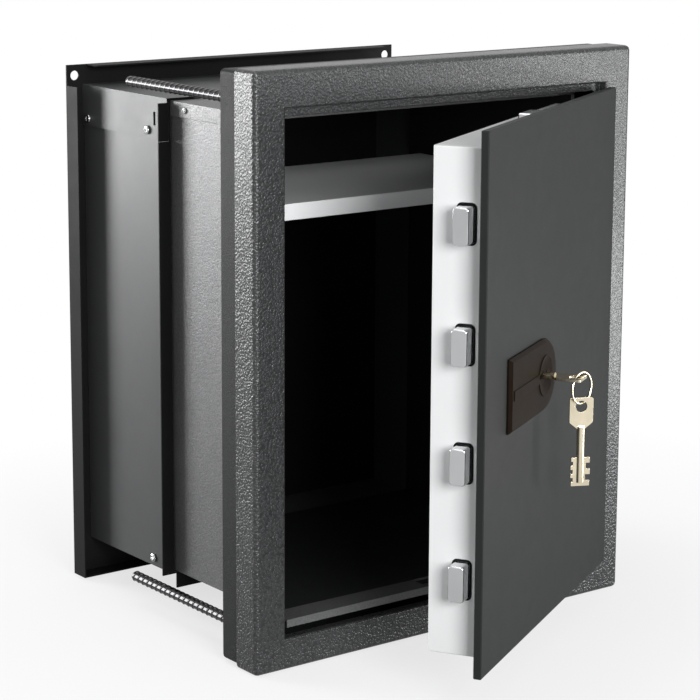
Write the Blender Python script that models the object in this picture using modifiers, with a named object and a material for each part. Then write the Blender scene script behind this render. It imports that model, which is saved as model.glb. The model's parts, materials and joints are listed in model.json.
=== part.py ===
"""Wall safe with a front frame, a telescopic body, a bolt-work door and its keys.

Metres, +Z up. The front of the safe faces -Y and the door hinges on the +X side. The origin is
the middle of the bottom rail's back face, where the frame bears on the wall. The door stands
open at DOOR_REST_ANGLE. Door parts are drawn as they lie with the door closed, under an empty
on the hinge axis that carries the opening angle.
"""

import math

import bmesh
import bpy
from mathutils import Matrix, Vector
from mathutils.geometry import tessellate_polygon

MM = 0.001

# Fits and cuts
SEAT_GAP = 0.3 * MM          # between pieces that touch
SLIDE_GAP = 0.7 * MM         # between telescoping sheets
BOLT_FIT = 0.6 * MM          # each side of a locking bolt in its slot
PIN_FIT = 0.1 * MM           # radial, hinge pin in the arm's eye
SCREW_FIT = 0.3 * MM         # radial, screw shank or rod in its hole
KEY_FIT = 0.2 * MM           # radial, key in the keyhole and in the lock
RING_FIT = 1.0 * MM          # key ring's wire to the edge it rests on
OVERRUN = 2.0 * MM           # how far a cutter runs past the piece

# Front frame, a folded steel profile
FRAME_WIDTH = 419.0 * MM
FRAME_HEIGHT = 515.0 * MM
FRONT_SECTION_DEPTH = 29.0 * MM
REAR_SECTION_DEPTH = 23.0 * MM
STILE_WIDTH = 31.0 * MM
TOP_RAIL = 32.5 * MM
BOTTOM_RAIL = 28.5 * MM
FRAME_SHEET = 3.0 * MM
FRAME_EDGE_RADIUS = 4.5 * MM
OPENING_EDGE_RADIUS = 2.0 * MM
REVEAL_DEPTH = 8.0 * MM
STOP_SHEET = 2.0 * MM
STOP_WIDTH_LOCK_SIDE = 5.2 * MM
STOP_WIDTH_HINGE_SIDE = 7.0 * MM
STOP_WIDTH_TOP = 7.5 * MM
REAR_SECTION_INSET = 2.0 * MM
REAR_SECTION_SHEET = 2.0 * MM
ORIGIN_HEIGHT = 20.0 * MM    # of the datum above the frame's bottom edge

# Body, a box of thin sheet behind the frame
BODY_SIDE_INSET = 9.7 * MM    # of the walls inside the opening
BODY_SHEET = 2.0 * MM
BODY_FLOOR_DROP = 11.0 * MM  # floor's underside above the opening's bottom edge
BODY_TOP_INSET = 11.0 * MM    # of the top inside the opening
BODY_START = 33.0 * MM       # front edge of the side walls behind the frame's face
BODY_END = 270.0 * MM
BODY_TOP_FOLD = 13.4 * MM
BODY_TOP_FOLD_SHEET = 1.5 * MM
FLOOR_LIP_HEIGHT = 7.0 * MM

# Shelf and its rails
SHELF_FRONT = 62.0 * MM
SHELF_DEPTH = 188.0 * MM
SHELF_SHEET = 1.5 * MM
SHELF_FOLD = 14.5 * MM
SHELF_SIDE_GAP = 2.0 * MM
RAIL_WIDTH = 14.0 * MM
RAIL_HEIGHT = 18.0 * MM
RAIL_SHEET = 2.0 * MM
RAIL_END_INSET = 6.0 * MM

# Wall anchors: a threaded rod through the web at each corner, with its nut inside the frame
ROD_RADIUS = 5.0 * MM
ROD_LENGTH = 178.0 * MM
ROD_FROM_SIDE = 23.0 * MM
ROD_FROM_BOTTOM = 27.0 * MM
ROD_FROM_TOP = 29.0 * MM
ROD_END = 3.0 * MM           # of the rod in front of its nut
ROD_NUT_FLATS = 16.0 * MM
ROD_NUT_HEIGHT = 8.0 * MM

# Rear sleeve that slides over the body
SLEEVE_SHEET = 1.5 * MM
SLEEVE_START = 185.0 * MM
SLEEVE_LENGTH = 144.7 * MM
SLEEVE_FLOOR_GAP = 1.0 * MM
SLEEVE_FLANGE_SIDE = 10.5 * MM
SLEEVE_FLANGE_BOTTOM = 14.0 * MM
SLEEVE_FLANGE_CORNER_INSET = 4.5 * MM
SLEEVE_TOP_FOLD = 38.0 * MM
SLEEVE_TAB_TOP_INSET = 4.0 * MM
SLEEVE_TAB_HEIGHT = 21.0 * MM
SLOT_WIDTH = 3.3 * MM
SLOT_HEIGHT = 12.0 * MM
SLOT_FROM_FRONT = 20.5 * MM
SLOT_FROM_TOP = 20.0 * MM
SLEEVE_SCREW_REAR = 133.0 * MM
SLEEVE_SCREW_FRONT = 31.5 * MM
SLEEVE_SCREW_FROM_TOP = 31.0 * MM
SLEEVE_SCREW_FROM_BOTTOM = 8.0 * MM
REAR_PLATE_SIDE_MARGIN = 17.7 * MM    # past the sleeve
REAR_PLATE_BOTTOM_MARGIN = 34.0 * MM
REAR_PLATE_TOP_MARGIN = 18.3 * MM
REAR_PLATE_SHEET = 2.0 * MM
REAR_LIP_DEPTH = 18.0 * MM
REAR_LIP_SHEET = 1.5 * MM
REAR_EAR = 21.0 * MM
REAR_EAR_HOLE_RADIUS = 4.5 * MM
REAR_EAR_HOLE_INSET = 8.5 * MM
REAR_SIDE_LIP_TOP = 38.0 * MM

# Pan-head screws
SCREW_HEAD_RADIUS = 3.9 * MM
SCREW_HEAD_HEIGHT = 2.6 * MM
SCREW_SHANK_RADIUS = 2.0 * MM
SCREW_LENGTH = 3.0 * MM
BODY_SCREW_FROM_FRONT = 129.0 * MM
BODY_SCREW_FROM_TOP = 6.7 * MM
BODY_SCREW_SCALE_SHARE = 0.7

# Door
DOOR_REST_ANGLE = math.radians(30.35)
DOOR_SIDE_GAP = 4.5 * MM
DOOR_TOP_GAP = 3.6 * MM
DOOR_BOTTOM_GAP = 3.9 * MM
DOOR_PLATE = 7.0 * MM
DOOR_EDGE_RADIUS = 0.8 * MM
HOUSING_SHEET = 1.5 * MM
HOUSING_INSET_LOCK_SIDE = 17.0 * MM
HOUSING_INSET_HINGE_SIDE = 15.0 * MM
HOUSING_INSET_TOP = 15.7 * MM
HOUSING_INSET_BOTTOM = 12.1 * MM
HOUSING_DEPTH = 45.0 * MM
HOUSING_EDGE_RADIUS = 1.4 * MM
COVER_SHEET = 1.5 * MM
COVER_FOLD = 8.0 * MM

# Concealed hinges: a pin in a bracket inside the stile, and a gooseneck arm on the door
HINGE_FROM_OPENING = 15.4 * MM
HINGE_DEPTH = 14.7 * MM
HINGE_FROM_END = 78.0 * MM
HINGE_PIN_RADIUS = 4.0 * MM
HINGE_PIN_HEAD = 2.0 * MM
HINGE_EYE_RADIUS = 6.5 * MM
HINGE_ARM_HEIGHT = 24.0 * MM
HINGE_ARM_WIDTH = 9.0 * MM
HINGE_ARM_BACK = 30.0 * MM
HINGE_ARM_CLEARANCE = 2.6 * MM
ARM_TURN_SHARE = 1.15        # of the arm's width, radius of its outer turn
HINGE_EAR_SHEET = 3.0 * MM
HINGE_EAR_GAP = 0.4 * MM
HINGE_BASE_SHEET = 2.0 * MM
HINGE_CUTOUT_GAP = 3.0 * MM

# Locking bolts and the bolt work that carries them
BOLT_HEIGHT = 30.5 * MM
BOLT_THICKNESS = 13.5 * MM
BOLT_BEHIND_PLATE = 10.0 * MM
BOLT_PROUD = 15.5 * MM
BOLT_LENGTH = 46.0 * MM
BOLT_EDGE_RADIUS = 1.6 * MM
BOLT_PITCH = 97.5 * MM
BOLT_COUNT = 4
CARRIER_WIDTH = 18.0 * MM
CARRIER_SHEET = 3.0 * MM
END_BOLT_PROUD_TOP = 11.0 * MM
END_BOLT_PROUD_BOTTOM = 2.4 * MM
END_BOLT_LENGTH = 34.0 * MM
END_BOLT_ROD_WIDTH = 12.0 * MM
END_BOLT_ROD_SHEET = 4.0 * MM
BOLT_THROW = 10.0 * MM

# Lock case, escutcheon and keyhole
LOCK_CASE_WIDTH = 86.0 * MM
LOCK_CASE_HEIGHT = 100.0 * MM
LOCK_CASE_DEPTH = 33.0 * MM
LOCK_CASE_EDGE_RADIUS = 2.0 * MM
KEYHOLE_SLOT_HEIGHT = 4.0 * MM
KEYHOLE_GAP = 0.8 * MM
ESCUTCHEON_LENGTH = 119.5 * MM
ESCUTCHEON_HEIGHT = 62.5 * MM
ESCUTCHEON_THICKNESS = 4.0 * MM
ESCUTCHEON_BEVEL = 2.6 * MM
DISH_RADIUS = 17.0 * MM
DISH_FLOOR_RADIUS = 9.0 * MM
DISH_DEPTH = 2.6 * MM
BAND_HEIGHT = 8.2 * MM
BAND_PROUD = 0.8 * MM
BAND_END_GAP = 3.5 * MM

# Double-bit key, its spare and the ring
KEY_LENGTH = 77.0 * MM
KEY_BOW_LENGTH = 22.5 * MM
KEY_BOW_WIDTH = 20.6 * MM
KEY_THICKNESS = 2.2 * MM
KEY_HOLE_RADIUS = 5.0 * MM
KEY_HOLE_FROM_END = 7.7 * MM
KEY_NECK_LENGTH = 5.0 * MM
KEY_SHANK_RADIUS = 3.4 * MM
KEY_BIT_LENGTH = 25.0 * MM
KEY_BIT_WIDTH = 17.6 * MM
KEY_BOW_STANDS_OUT = 38.0 * MM
RING_RADIUS = 13.4 * MM
RING_WIRE_RADIUS = 1.0 * MM
RING_DROP = 10.0 * MM        # ring's centre below the inserted key's axis
RING_TURN = math.radians(11.0)        # of the ring's plane from the front
SPARE_KEY_TURN = math.radians(-26.0)  # of the hanging key's flat from the front
SPARE_KEY_SLACK = 1.2 * MM   # the wire crosses the hanging key's hole aslant

# Shares of the bit width that each step of the key's comb keeps, from the neck to the tip
NECK_WIDTH_SHARE = 0.85      # of the shank, where the flat bow runs into it
KEYHOLE_PLACE_SHARE = 0.595   # of the door's width, from the hinge edge
SHELF_PLACE_SHARE = 0.8178    # of the inside height, from the floor
BIT_RIGHT_SHARES = (0.95, 0.56, 0.98, 0.50, 0.94)
BIT_LEFT_SHARES = (0.90, 0.72, 0.96, 0.74, 0.95, 0.72, 0.90)

# Facets
ROUND_STEPS = 24
ROD_STEPS = 20
SMALL_STEPS = 16
EDGE_SEGMENTS = 3

# Derived places, in the datum's frame: front face at y = 0, frame's bottom edge at z = 0
FRAME_DEPTH = FRONT_SECTION_DEPTH + REAR_SECTION_DEPTH
FRAME_HALF = FRAME_WIDTH / 2
OPENING_HALF = FRAME_HALF - STILE_WIDTH
OPENING_BOTTOM = BOTTOM_RAIL
OPENING_TOP = FRAME_HEIGHT - TOP_RAIL
STOP_BACK = REVEAL_DEPTH + STOP_SHEET
FLOOR_UNDER = OPENING_BOTTOM + BODY_FLOOR_DROP
FLOOR_TOP = FLOOR_UNDER + BODY_SHEET
BODY_TOP = OPENING_TOP - BODY_TOP_INSET
BODY_HALF_WIDTH = OPENING_HALF - BODY_SIDE_INSET
BODY_TOP_UNDER = BODY_TOP - BODY_SHEET
BODY_INNER = BODY_HALF_WIDTH - BODY_SHEET
BODY_FOLD_IN = BODY_HALF_WIDTH + SEAT_GAP
BODY_FOLD_OUT = BODY_FOLD_IN + BODY_TOP_FOLD_SHEET
SHELF_TOP = FLOOR_TOP + (BODY_TOP_UNDER - FLOOR_TOP) * SHELF_PLACE_SHARE
SLEEVE_INNER = BODY_FOLD_OUT + SLIDE_GAP
SLEEVE_OUTER = SLEEVE_INNER + SLEEVE_SHEET
SLEEVE_FLOOR_UNDER = FLOOR_UNDER - SLEEVE_FLOOR_GAP - SLEEVE_SHEET
SLEEVE_WALL_TOP = BODY_TOP + SLIDE_GAP - SEAT_GAP
SLEEVE_TOP_UNDER = SLEEVE_WALL_TOP + SEAT_GAP
SLEEVE_TOP = SLEEVE_TOP_UNDER + SLEEVE_SHEET
SLEEVE_FOLD_IN = SLEEVE_OUTER + SEAT_GAP
SLEEVE_FOLD_OUT = SLEEVE_FOLD_IN + SLEEVE_SHEET
SLEEVE_END = SLEEVE_START + SLEEVE_LENGTH
REAR_PLATE_FRONT = SLEEVE_END + SEAT_GAP
REAR_PLATE_HALF_WIDTH = SLEEVE_OUTER + REAR_PLATE_SIDE_MARGIN
REAR_PLATE_BOTTOM = SLEEVE_FLOOR_UNDER - REAR_PLATE_BOTTOM_MARGIN
REAR_PLATE_TOP = SLEEVE_TOP + REAR_PLATE_TOP_MARGIN
DOOR_HALF = OPENING_HALF - DOOR_SIDE_GAP
DOOR_BOTTOM = OPENING_BOTTOM + DOOR_BOTTOM_GAP
DOOR_TOP = OPENING_TOP - DOOR_TOP_GAP
DOOR_MIDDLE = (DOOR_BOTTOM + DOOR_TOP) / 2
HINGE_X = OPENING_HALF + HINGE_FROM_OPENING
HOUSING_LOCK_X = -DOOR_HALF + HOUSING_INSET_LOCK_SIDE
HOUSING_HINGE_X = DOOR_HALF - HOUSING_INSET_HINGE_SIDE
HOUSING_BOTTOM = DOOR_BOTTOM + HOUSING_INSET_BOTTOM
HOUSING_TOP = DOOR_TOP - HOUSING_INSET_TOP
HOUSING_FRONT = DOOR_PLATE + SEAT_GAP
HOUSING_BACK = HOUSING_FRONT + HOUSING_DEPTH
BOLT_FRONT = DOOR_PLATE + BOLT_BEHIND_PLATE
BOLT_BACK = BOLT_FRONT + BOLT_THICKNESS
BOLT_TIP_X = HOUSING_LOCK_X - BOLT_PROUD
CARRIER_FRONT = BOLT_BACK + SEAT_GAP
KEYHOLE_ROUND_RADIUS = KEY_SHANK_RADIUS + KEY_FIT
LOCK_BORE_RADIUS = math.hypot(KEY_BIT_WIDTH, KEY_THICKNESS) / 2 + KEY_FIT
KEY_X = DOOR_HALF * (1 - 2 * KEYHOLE_PLACE_SHARE)
KEY_Z = DOOR_MIDDLE
LOCK_CASE_FRONT = DOOR_PLATE + SEAT_GAP
LOCK_CASE_BACK = LOCK_CASE_FRONT + LOCK_CASE_DEPTH


def clear_scene():
    """Remove whatever the file holds, so the script can run again."""
    for old in list(bpy.data.objects):
        bpy.data.objects.remove(old, do_unlink=True)
    for group in list(bpy.data.collections):
        bpy.data.collections.remove(group)


def make_material(name, colour, roughness, metallic):
    """Principled material with the piece's plain finish."""
    material = bpy.data.materials.new(name)
    material.use_nodes = True
    shader = material.node_tree.nodes["Principled BSDF"]
    shader.inputs["Base Color"].default_value = (*colour, 1.0)
    shader.inputs["Roughness"].default_value = roughness
    shader.inputs["Metallic"].default_value = metallic
    material.diffuse_color = (*colour, 1.0)
    return material


class Builder:
    """Holds the two collections and the empties that the pieces hang from."""

    def __init__(self):
        self.parts = bpy.data.collections.new("wall_safe")
        self.cutters = bpy.data.collections.new("wall_safe_cutters")
        for group in (self.parts, self.cutters):
            bpy.context.scene.collection.children.link(group)
        self.datum = self.empty("safe_datum", (0, -FRAME_DEPTH, -ORIGIN_HEIGHT), None)
        self.door = self.empty("door_hinge_axis", (HINGE_X, HINGE_DEPTH, 0), self.datum)
        self.door.rotation_euler.z = DOOR_REST_ANGLE

    def empty(self, name, place, parent):
        """Plain axes that pieces are parented to."""
        holder = bpy.data.objects.new(name, None)
        holder.location = place
        holder.parent = parent
        self.parts.objects.link(holder)
        return holder

    def add(self, name, mesh, parent=None, origin=(0, 0, 0), rotation=(0, 0, 0), material=None):
        """Make a piece whose mesh is drawn about origin and stands there under parent."""
        piece = bpy.data.objects.new(name, mesh)
        piece.parent = parent or self.datum
        piece.location = origin
        piece.rotation_euler = rotation
        self.parts.objects.link(piece)
        if material is not None:
            piece.data.materials.clear()
            piece.data.materials.append(material)
        return piece

    def add_door(self, name, mesh, material, origin=(0, 0, 0), rotation=(0, 0, 0)):
        """Make a door piece drawn in the closed door's place."""
        closed = Vector(origin) - Vector((HINGE_X, HINGE_DEPTH, 0))
        return self.add(name, mesh, self.door, closed, rotation, material)

    def boolean(self, piece, mesh, operation="DIFFERENCE"):
        """Cut piece with mesh, or join mesh to it, in piece's own frame."""
        cutter = bpy.data.objects.new(f"{piece.name}_tool", mesh)
        cutter.parent = piece
        cutter.hide_render = True
        cutter.display_type = "WIRE"
        self.cutters.objects.link(cutter)
        step = piece.modifiers.new(operation.title(), "BOOLEAN")
        step.operation = operation
        step.solver = "EXACT"
        step.object = cutter
        return piece


def mesh_from(name, work):
    """Turn a bmesh into a mesh."""
    bmesh.ops.recalc_face_normals(work, faces=work.faces)
    mesh = bpy.data.meshes.new(name)
    work.to_mesh(mesh)
    work.free()
    return mesh


def block(x, y, z, radius=0.0, segments=EDGE_SEGMENTS, keep=None):
    """Box between (low, high) pairs; keep(edge middle, edge direction) picks rounded edges."""
    work = bmesh.new()
    bmesh.ops.create_cube(work, size=1.0)
    size = Vector((x[1] - x[0], y[1] - y[0], z[1] - z[0]))
    middle = Vector((x[0] + x[1], y[0] + y[1], z[0] + z[1])) / 2
    for vert in work.verts:
        vert.co = Vector(a * b for a, b in zip(vert.co, size)) + middle
    if radius:
        edges = [e for e in work.edges if keep is None or keep(*edge_frame(e, middle, size))]
        bmesh.ops.bevel(work, geom=edges, offset=radius, segments=segments, affect="EDGES",
                        profile=0.5, clamp_overlap=True)
    return mesh_from("block", work)


def edge_frame(edge, middle, size):
    """Edge's middle as shares of the box (-1 to 1) and its direction's index."""
    spot = (edge.verts[0].co + edge.verts[1].co) / 2 - middle
    run = edge.verts[1].co - edge.verts[0].co
    shares = [2 * a / b for a, b in zip(spot, size)]
    return shares, max(range(3), key=lambda axis: abs(run[axis]))


def lofted(sections):
    """Closed block through rectangles given as (y, low x, high x, low z, high z)."""
    work = bmesh.new()
    loops = [[work.verts.new((x, y, z)) for x, z in ((x0, z0), (x1, z0), (x1, z1), (x0, z1))]
             for y, x0, x1, z0, z1 in sections]
    for near, far in zip(loops, loops[1:]):
        for i in range(len(near)):
            j = (i + 1) % len(near)
            work.faces.new((near[i], near[j], far[j], far[i]))
    work.faces.new(loops[0])
    work.faces.new(loops[-1])
    return mesh_from("loft", work)


def cylinder(radius, low, high, axis="Y", place=(0, 0), steps=ROUND_STEPS, top_radius=None):
    """Cylinder or cone along axis from low to high; place is its centre across the axis."""
    work = bmesh.new()
    bmesh.ops.create_cone(work, cap_ends=True, segments=steps, radius1=radius,
                          radius2=radius if top_radius is None else top_radius, depth=high - low)
    turn = {"X": Matrix.Rotation(math.pi / 2, 4, "Y"), "Y": Matrix.Rotation(-math.pi / 2, 4, "X"),
            "Z": Matrix.Identity(4)}[axis]
    middle = (low + high) / 2
    spot = {"X": (middle, *place), "Y": (place[0], middle, place[1]), "Z": (*place, middle)}[axis]
    bmesh.ops.transform(work, matrix=Matrix.Translation(spot) @ turn, verts=work.verts)
    return mesh_from("cylinder", work)


def prism(outline, low, high, axis="Y"):
    """Extrude a flat outline of (across, up) points along Y, or (x, y) points along Z."""
    work = bmesh.new()
    place = (lambda a, b, run: (a, run, b)) if axis == "Y" else (lambda a, b, run: (a, b, run))
    near, far = ([work.verts.new(place(a, b, run)) for a, b in outline] for run in (low, high))
    for i in range(len(outline)):
        j = (i + 1) % len(outline)
        work.faces.new((near[i], near[j], far[j], far[i]))
    for corners in tessellate_polygon([[Vector((a, b, 0)) / MM for a, b in outline]]):
        for loop in (near, far):
            work.faces.new([loop[i] for i in corners])
    return mesh_from("prism", work)


def turned(profile):
    """Profile of (radius, height) points, from the top down, that a Screw turns about Z."""
    work = bmesh.new()
    points = [work.verts.new((radius, 0, height)) for radius, height in profile]
    for first, second in zip(points, points[1:]):
        work.edges.new((first, second))
    mesh = bpy.data.meshes.new("profile")
    work.to_mesh(mesh)
    work.free()
    return mesh


def add_screw_modifier(piece, steps):
    """Turn piece's profile a full circle."""
    turn = piece.modifiers.new("Turn", "SCREW")
    turn.axis = "Z"
    turn.steps = turn.render_steps = steps
    turn.use_merge_vertices = True
    turn.merge_threshold = 1e-6
    turn.use_normal_calculate = True
    return piece


def arc(centre, radius, start, end, steps):
    """Points on an arc of degrees start to end."""
    return [(centre[0] + radius * math.cos(math.radians(start + (end - start) * i / steps)),
             centre[1] + radius * math.sin(math.radians(start + (end - start) * i / steps)))
            for i in range(steps + 1)]


def smooth(piece, angle=35.0):
    """Shade round faces smooth and keep the sharp edges."""
    piece.data.shade_smooth()
    piece.data.set_sharp_from_angle(angle=math.radians(angle))
    return piece


def hinge_levels():
    """Heights of the lower and the upper hinge."""
    return {"bottom": DOOR_BOTTOM + HINGE_FROM_END, "top": DOOR_TOP - HINGE_FROM_END}


def bolt_levels():
    """Heights of the locking bolts' middles, from the bottom up."""
    first = DOOR_MIDDLE - BOLT_PITCH * (BOLT_COUNT - 1) / 2
    return [first + BOLT_PITCH * i for i in range(BOLT_COUNT)]


def door_point(x, y, z):
    """Where a point of the closed door stands with the door at its rest angle."""
    spot = Vector((x - HINGE_X, y - HINGE_DEPTH, z))
    return Matrix.Rotation(DOOR_REST_ANGLE, 3, "Z") @ spot + Vector((HINGE_X, HINGE_DEPTH, 0))


def rod_places():
    """Corner name and (x, z) of each wall anchor."""
    x = FRAME_HALF - ROD_FROM_SIDE
    low, high = ROD_FROM_BOTTOM, FRAME_HEIGHT - ROD_FROM_TOP
    return {"bottom_left": (-x, low), "bottom_right": (x, low),
            "top_left": (-x, high), "top_right": (x, high)}


# Front frame


def build_front_frame(build, paint):
    """Bezel with outer returns, the door's reveal and the stop that the bolts pass behind."""
    def front_or_corner(shares, axis):
        return shares[1] < -0.5 if axis != 1 else True

    frame = build.add("front_frame", block((-FRAME_HALF, FRAME_HALF), (0, FRONT_SECTION_DEPTH),
                                           (0, FRAME_HEIGHT), FRAME_EDGE_RADIUS,
                                           keep=front_or_corner), material=paint)
    inner = FRAME_HALF - FRAME_SHEET
    past = FRONT_SECTION_DEPTH + OVERRUN
    build.boolean(frame, block((-inner, inner), (STOP_BACK, past),
                               (FRAME_SHEET, FRAME_HEIGHT - FRAME_SHEET)))
    ring = build.add("hollow_ring", block((-inner, inner), (FRAME_SHEET, STOP_BACK + OVERRUN),
                                          (FRAME_SHEET, FRAME_HEIGHT - FRAME_SHEET)))
    reveal = OPENING_HALF + FRAME_SHEET
    build.boolean(ring, block((-reveal, reveal), (-OVERRUN, past),
                              (OPENING_BOTTOM - FRAME_SHEET, OPENING_TOP + FRAME_SHEET)))
    build.boolean(frame, baked(ring))
    build.boolean(frame, opening_cutter())
    build.boolean(frame, block(
        (-OPENING_HALF + STOP_WIDTH_LOCK_SIDE, OPENING_HALF - STOP_WIDTH_HINGE_SIDE),
        (0, past), (OPENING_BOTTOM, OPENING_TOP - STOP_WIDTH_TOP)))
    room = HINGE_ARM_HEIGHT / 2 + HINGE_CUTOUT_GAP
    for level in hinge_levels().values():
        build.boolean(frame, block((OPENING_HALF - STOP_WIDTH_HINGE_SIDE - OVERRUN, reveal + OVERRUN),
                                   (FRAME_SHEET + SEAT_GAP, past), (level - room, level + room)))
    return smooth(frame)


def opening_cutter():
    """Doorway with a quarter round along its front edge."""
    sections = []
    for i in range(EDGE_SEGMENTS + 1):
        turn = math.pi / 2 * i / EDGE_SEGMENTS
        grow = OPENING_EDGE_RADIUS * (1 - math.sin(turn))
        sections.append((OPENING_EDGE_RADIUS * (1 - math.cos(turn)), grow))
    sections = [(-OVERRUN, OPENING_EDGE_RADIUS)] + sections + [(REVEAL_DEPTH, 0.0)]
    return lofted([(y, -OPENING_HALF - grow, OPENING_HALF + grow, OPENING_BOTTOM - grow,
                    OPENING_TOP + grow) for y, grow in sections])


def baked(piece):
    """Mesh of a helper with its modifiers applied; the helper is removed."""
    bpy.context.view_layer.update()
    shape = piece.evaluated_get(bpy.context.evaluated_depsgraph_get())
    mesh = bpy.data.meshes.new_from_object(shape)
    for step in piece.modifiers:
        if step.type == "BOOLEAN":
            bpy.data.objects.remove(step.object, do_unlink=True)
    bpy.data.objects.remove(piece, do_unlink=True)
    return mesh


def build_rear_section(build, paint):
    """Folded ring behind the bezel, with the web that bears on the wall."""
    half = FRAME_HALF - REAR_SECTION_INSET
    low, high = REAR_SECTION_INSET, FRAME_HEIGHT - REAR_SECTION_INSET
    start = FRONT_SECTION_DEPTH + SEAT_GAP
    ring = build.add("frame_rear_section",
                     block((-half, half), (start, FRAME_DEPTH), (low, high), FRAME_EDGE_RADIUS,
                           keep=lambda shares, axis: axis == 1), material=paint)
    sheet = REAR_SECTION_SHEET
    build.boolean(ring, block((-half + sheet, half - sheet),
                              (start - OVERRUN, FRAME_DEPTH - sheet), (low + sheet, high - sheet)))
    through = BODY_FOLD_OUT + SEAT_GAP
    build.boolean(ring, block((-through, through), (start, FRAME_DEPTH + OVERRUN),
                              (FLOOR_UNDER - SEAT_GAP, BODY_TOP + SEAT_GAP)))
    for x, z in rod_places().values():
        build.boolean(ring, cylinder(ROD_RADIUS + SCREW_FIT, start, FRAME_DEPTH + OVERRUN,
                                     place=(x, z), steps=ROD_STEPS))
    return smooth(ring)


def build_anchors(build, steel, zinc):
    """Threaded rods through the web into the wall, each with a nut inside the frame."""
    nut_back = FRAME_DEPTH - REAR_SECTION_SHEET - SEAT_GAP
    nut_front = nut_back - ROD_NUT_HEIGHT
    for corner, (x, z) in rod_places().items():
        smooth(build.add(f"anchor_rod_{corner}",
                         cylinder(ROD_RADIUS, nut_front - ROD_END, nut_back + ROD_LENGTH,
                                  steps=ROD_STEPS), origin=(x, 0, z), material=steel))
        nut = build.add(f"rod_nut_{corner}",
                        cylinder(ROD_NUT_FLATS / math.sqrt(3), nut_front, nut_back, steps=6),
                        origin=(x, 0, z), material=zinc)
        build.boolean(nut, cylinder(ROD_RADIUS + SCREW_FIT, nut_front - OVERRUN,
                                    nut_back + OVERRUN, steps=ROD_STEPS))


# Body


def build_body(build, paint, inside):
    """Floor and side walls in one folded sheet, and the top that folds down over them."""
    shell = build.add("body_shell", block((-BODY_HALF_WIDTH, BODY_HALF_WIDTH),
                                          (BODY_START, BODY_END),
                                          (FLOOR_UNDER, BODY_TOP_UNDER - SEAT_GAP)),
                      material=paint)
    build.boolean(shell, block((-BODY_INNER, BODY_INNER), (BODY_START - OVERRUN, BODY_END + OVERRUN),
                               (FLOOR_TOP, BODY_TOP + OVERRUN)))
    tongue = OPENING_HALF - STOP_WIDTH_HINGE_SIDE - SLIDE_GAP
    front = REVEAL_DEPTH + SEAT_GAP
    web = FRAME_DEPTH - REAR_SECTION_SHEET - SEAT_GAP
    build.boolean(shell, block((-tongue, tongue), (front, web), (FLOOR_UNDER, FLOOR_TOP)), "UNION")
    build.boolean(shell, block((-tongue, tongue), (front, front + BODY_SHEET),
                               (FLOOR_TOP - FLOOR_LIP_HEIGHT, FLOOR_TOP - BODY_SHEET / 2)), "UNION")
    build.boolean(shell, end_bolt_slot(FLOOR_UNDER - OVERRUN, FLOOR_TOP + OVERRUN))
    room = HINGE_ARM_HEIGHT / 2 + HINGE_CUTOUT_GAP
    for level in hinge_levels().values():
        build.boolean(shell, block((BODY_INNER - OVERRUN, BODY_HALF_WIDTH + OVERRUN),
                                   (BODY_START - OVERRUN, web), (level - room, level + room)))
    for side in (-1, 1):
        build.boolean(shell, screw_hole(side, BODY_INNER - OVERRUN, BODY_FOLD_OUT + OVERRUN,
                                        body_screw_place(), BODY_SCREW_SCALE_SHARE))

    top = build.add("body_top", block((-BODY_FOLD_OUT, BODY_FOLD_OUT), (BODY_START, BODY_END),
                                      (BODY_TOP - BODY_TOP_FOLD, BODY_TOP)), material=paint)
    build.boolean(top, block((-BODY_FOLD_IN, BODY_FOLD_IN),
                             (BODY_START - OVERRUN, BODY_END + OVERRUN),
                             (BODY_TOP - BODY_TOP_FOLD - OVERRUN, BODY_TOP_UNDER)))
    for side in (-1, 1):
        build.boolean(top, screw_hole(side, BODY_INNER, BODY_FOLD_OUT + OVERRUN,
                                      body_screw_place(), BODY_SCREW_SCALE_SHARE))
        add_pan_screw(build, f"body_screw_{'left' if side < 0 else 'right'}", side,
                      BODY_FOLD_OUT + SEAT_GAP, body_screw_place(), BODY_SCREW_SCALE_SHARE)
    return shell, top


def body_screw_place():
    """Distance from the face and height of the screw that holds the body's top."""
    return BODY_START + BODY_SCREW_FROM_FRONT, BODY_TOP - BODY_SCREW_FROM_TOP


def end_bolt_slot(low, high):
    """Slot that an upright bolt passes through."""
    half = BOLT_HEIGHT / 2 + BOLT_FIT
    return block((-half, half), (BOLT_FRONT - BOLT_FIT, BOLT_BACK + BOLT_FIT), (low, high))


def screw_hole(side, near, far, place, share=1.0):
    """Clearance hole along X for a pan-head screw on one side."""
    low, high = sorted((side * near, side * far))
    return cylinder(SCREW_SHANK_RADIUS * share + SCREW_FIT, low, high, "X", place, SMALL_STEPS)


def add_pan_screw(build, name, side, seat, place, share=1.0):
    """Screw with a domed head that stands on the sheet and a shank through it."""
    head, rise = SCREW_HEAD_RADIUS * share, SCREW_HEAD_HEIGHT * share
    shank = SCREW_SHANK_RADIUS * share
    dome = [(head * math.sin(math.radians(a)), rise * math.cos(math.radians(a)))
            for a in (0, 25, 50, 75, 90)]
    profile = [(max(r, 0.0), h) for r, h in dome] + [(shank, 0.0), (shank, -SCREW_LENGTH * share),
                                                     (0.0, -SCREW_LENGTH * share)]
    screw = build.add(name, turned(profile), origin=(side * seat, *place),
                      rotation=(0, side * math.pi / 2, 0), material=build.zinc)
    add_screw_modifier(screw, SMALL_STEPS)
    return smooth(screw)


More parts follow.
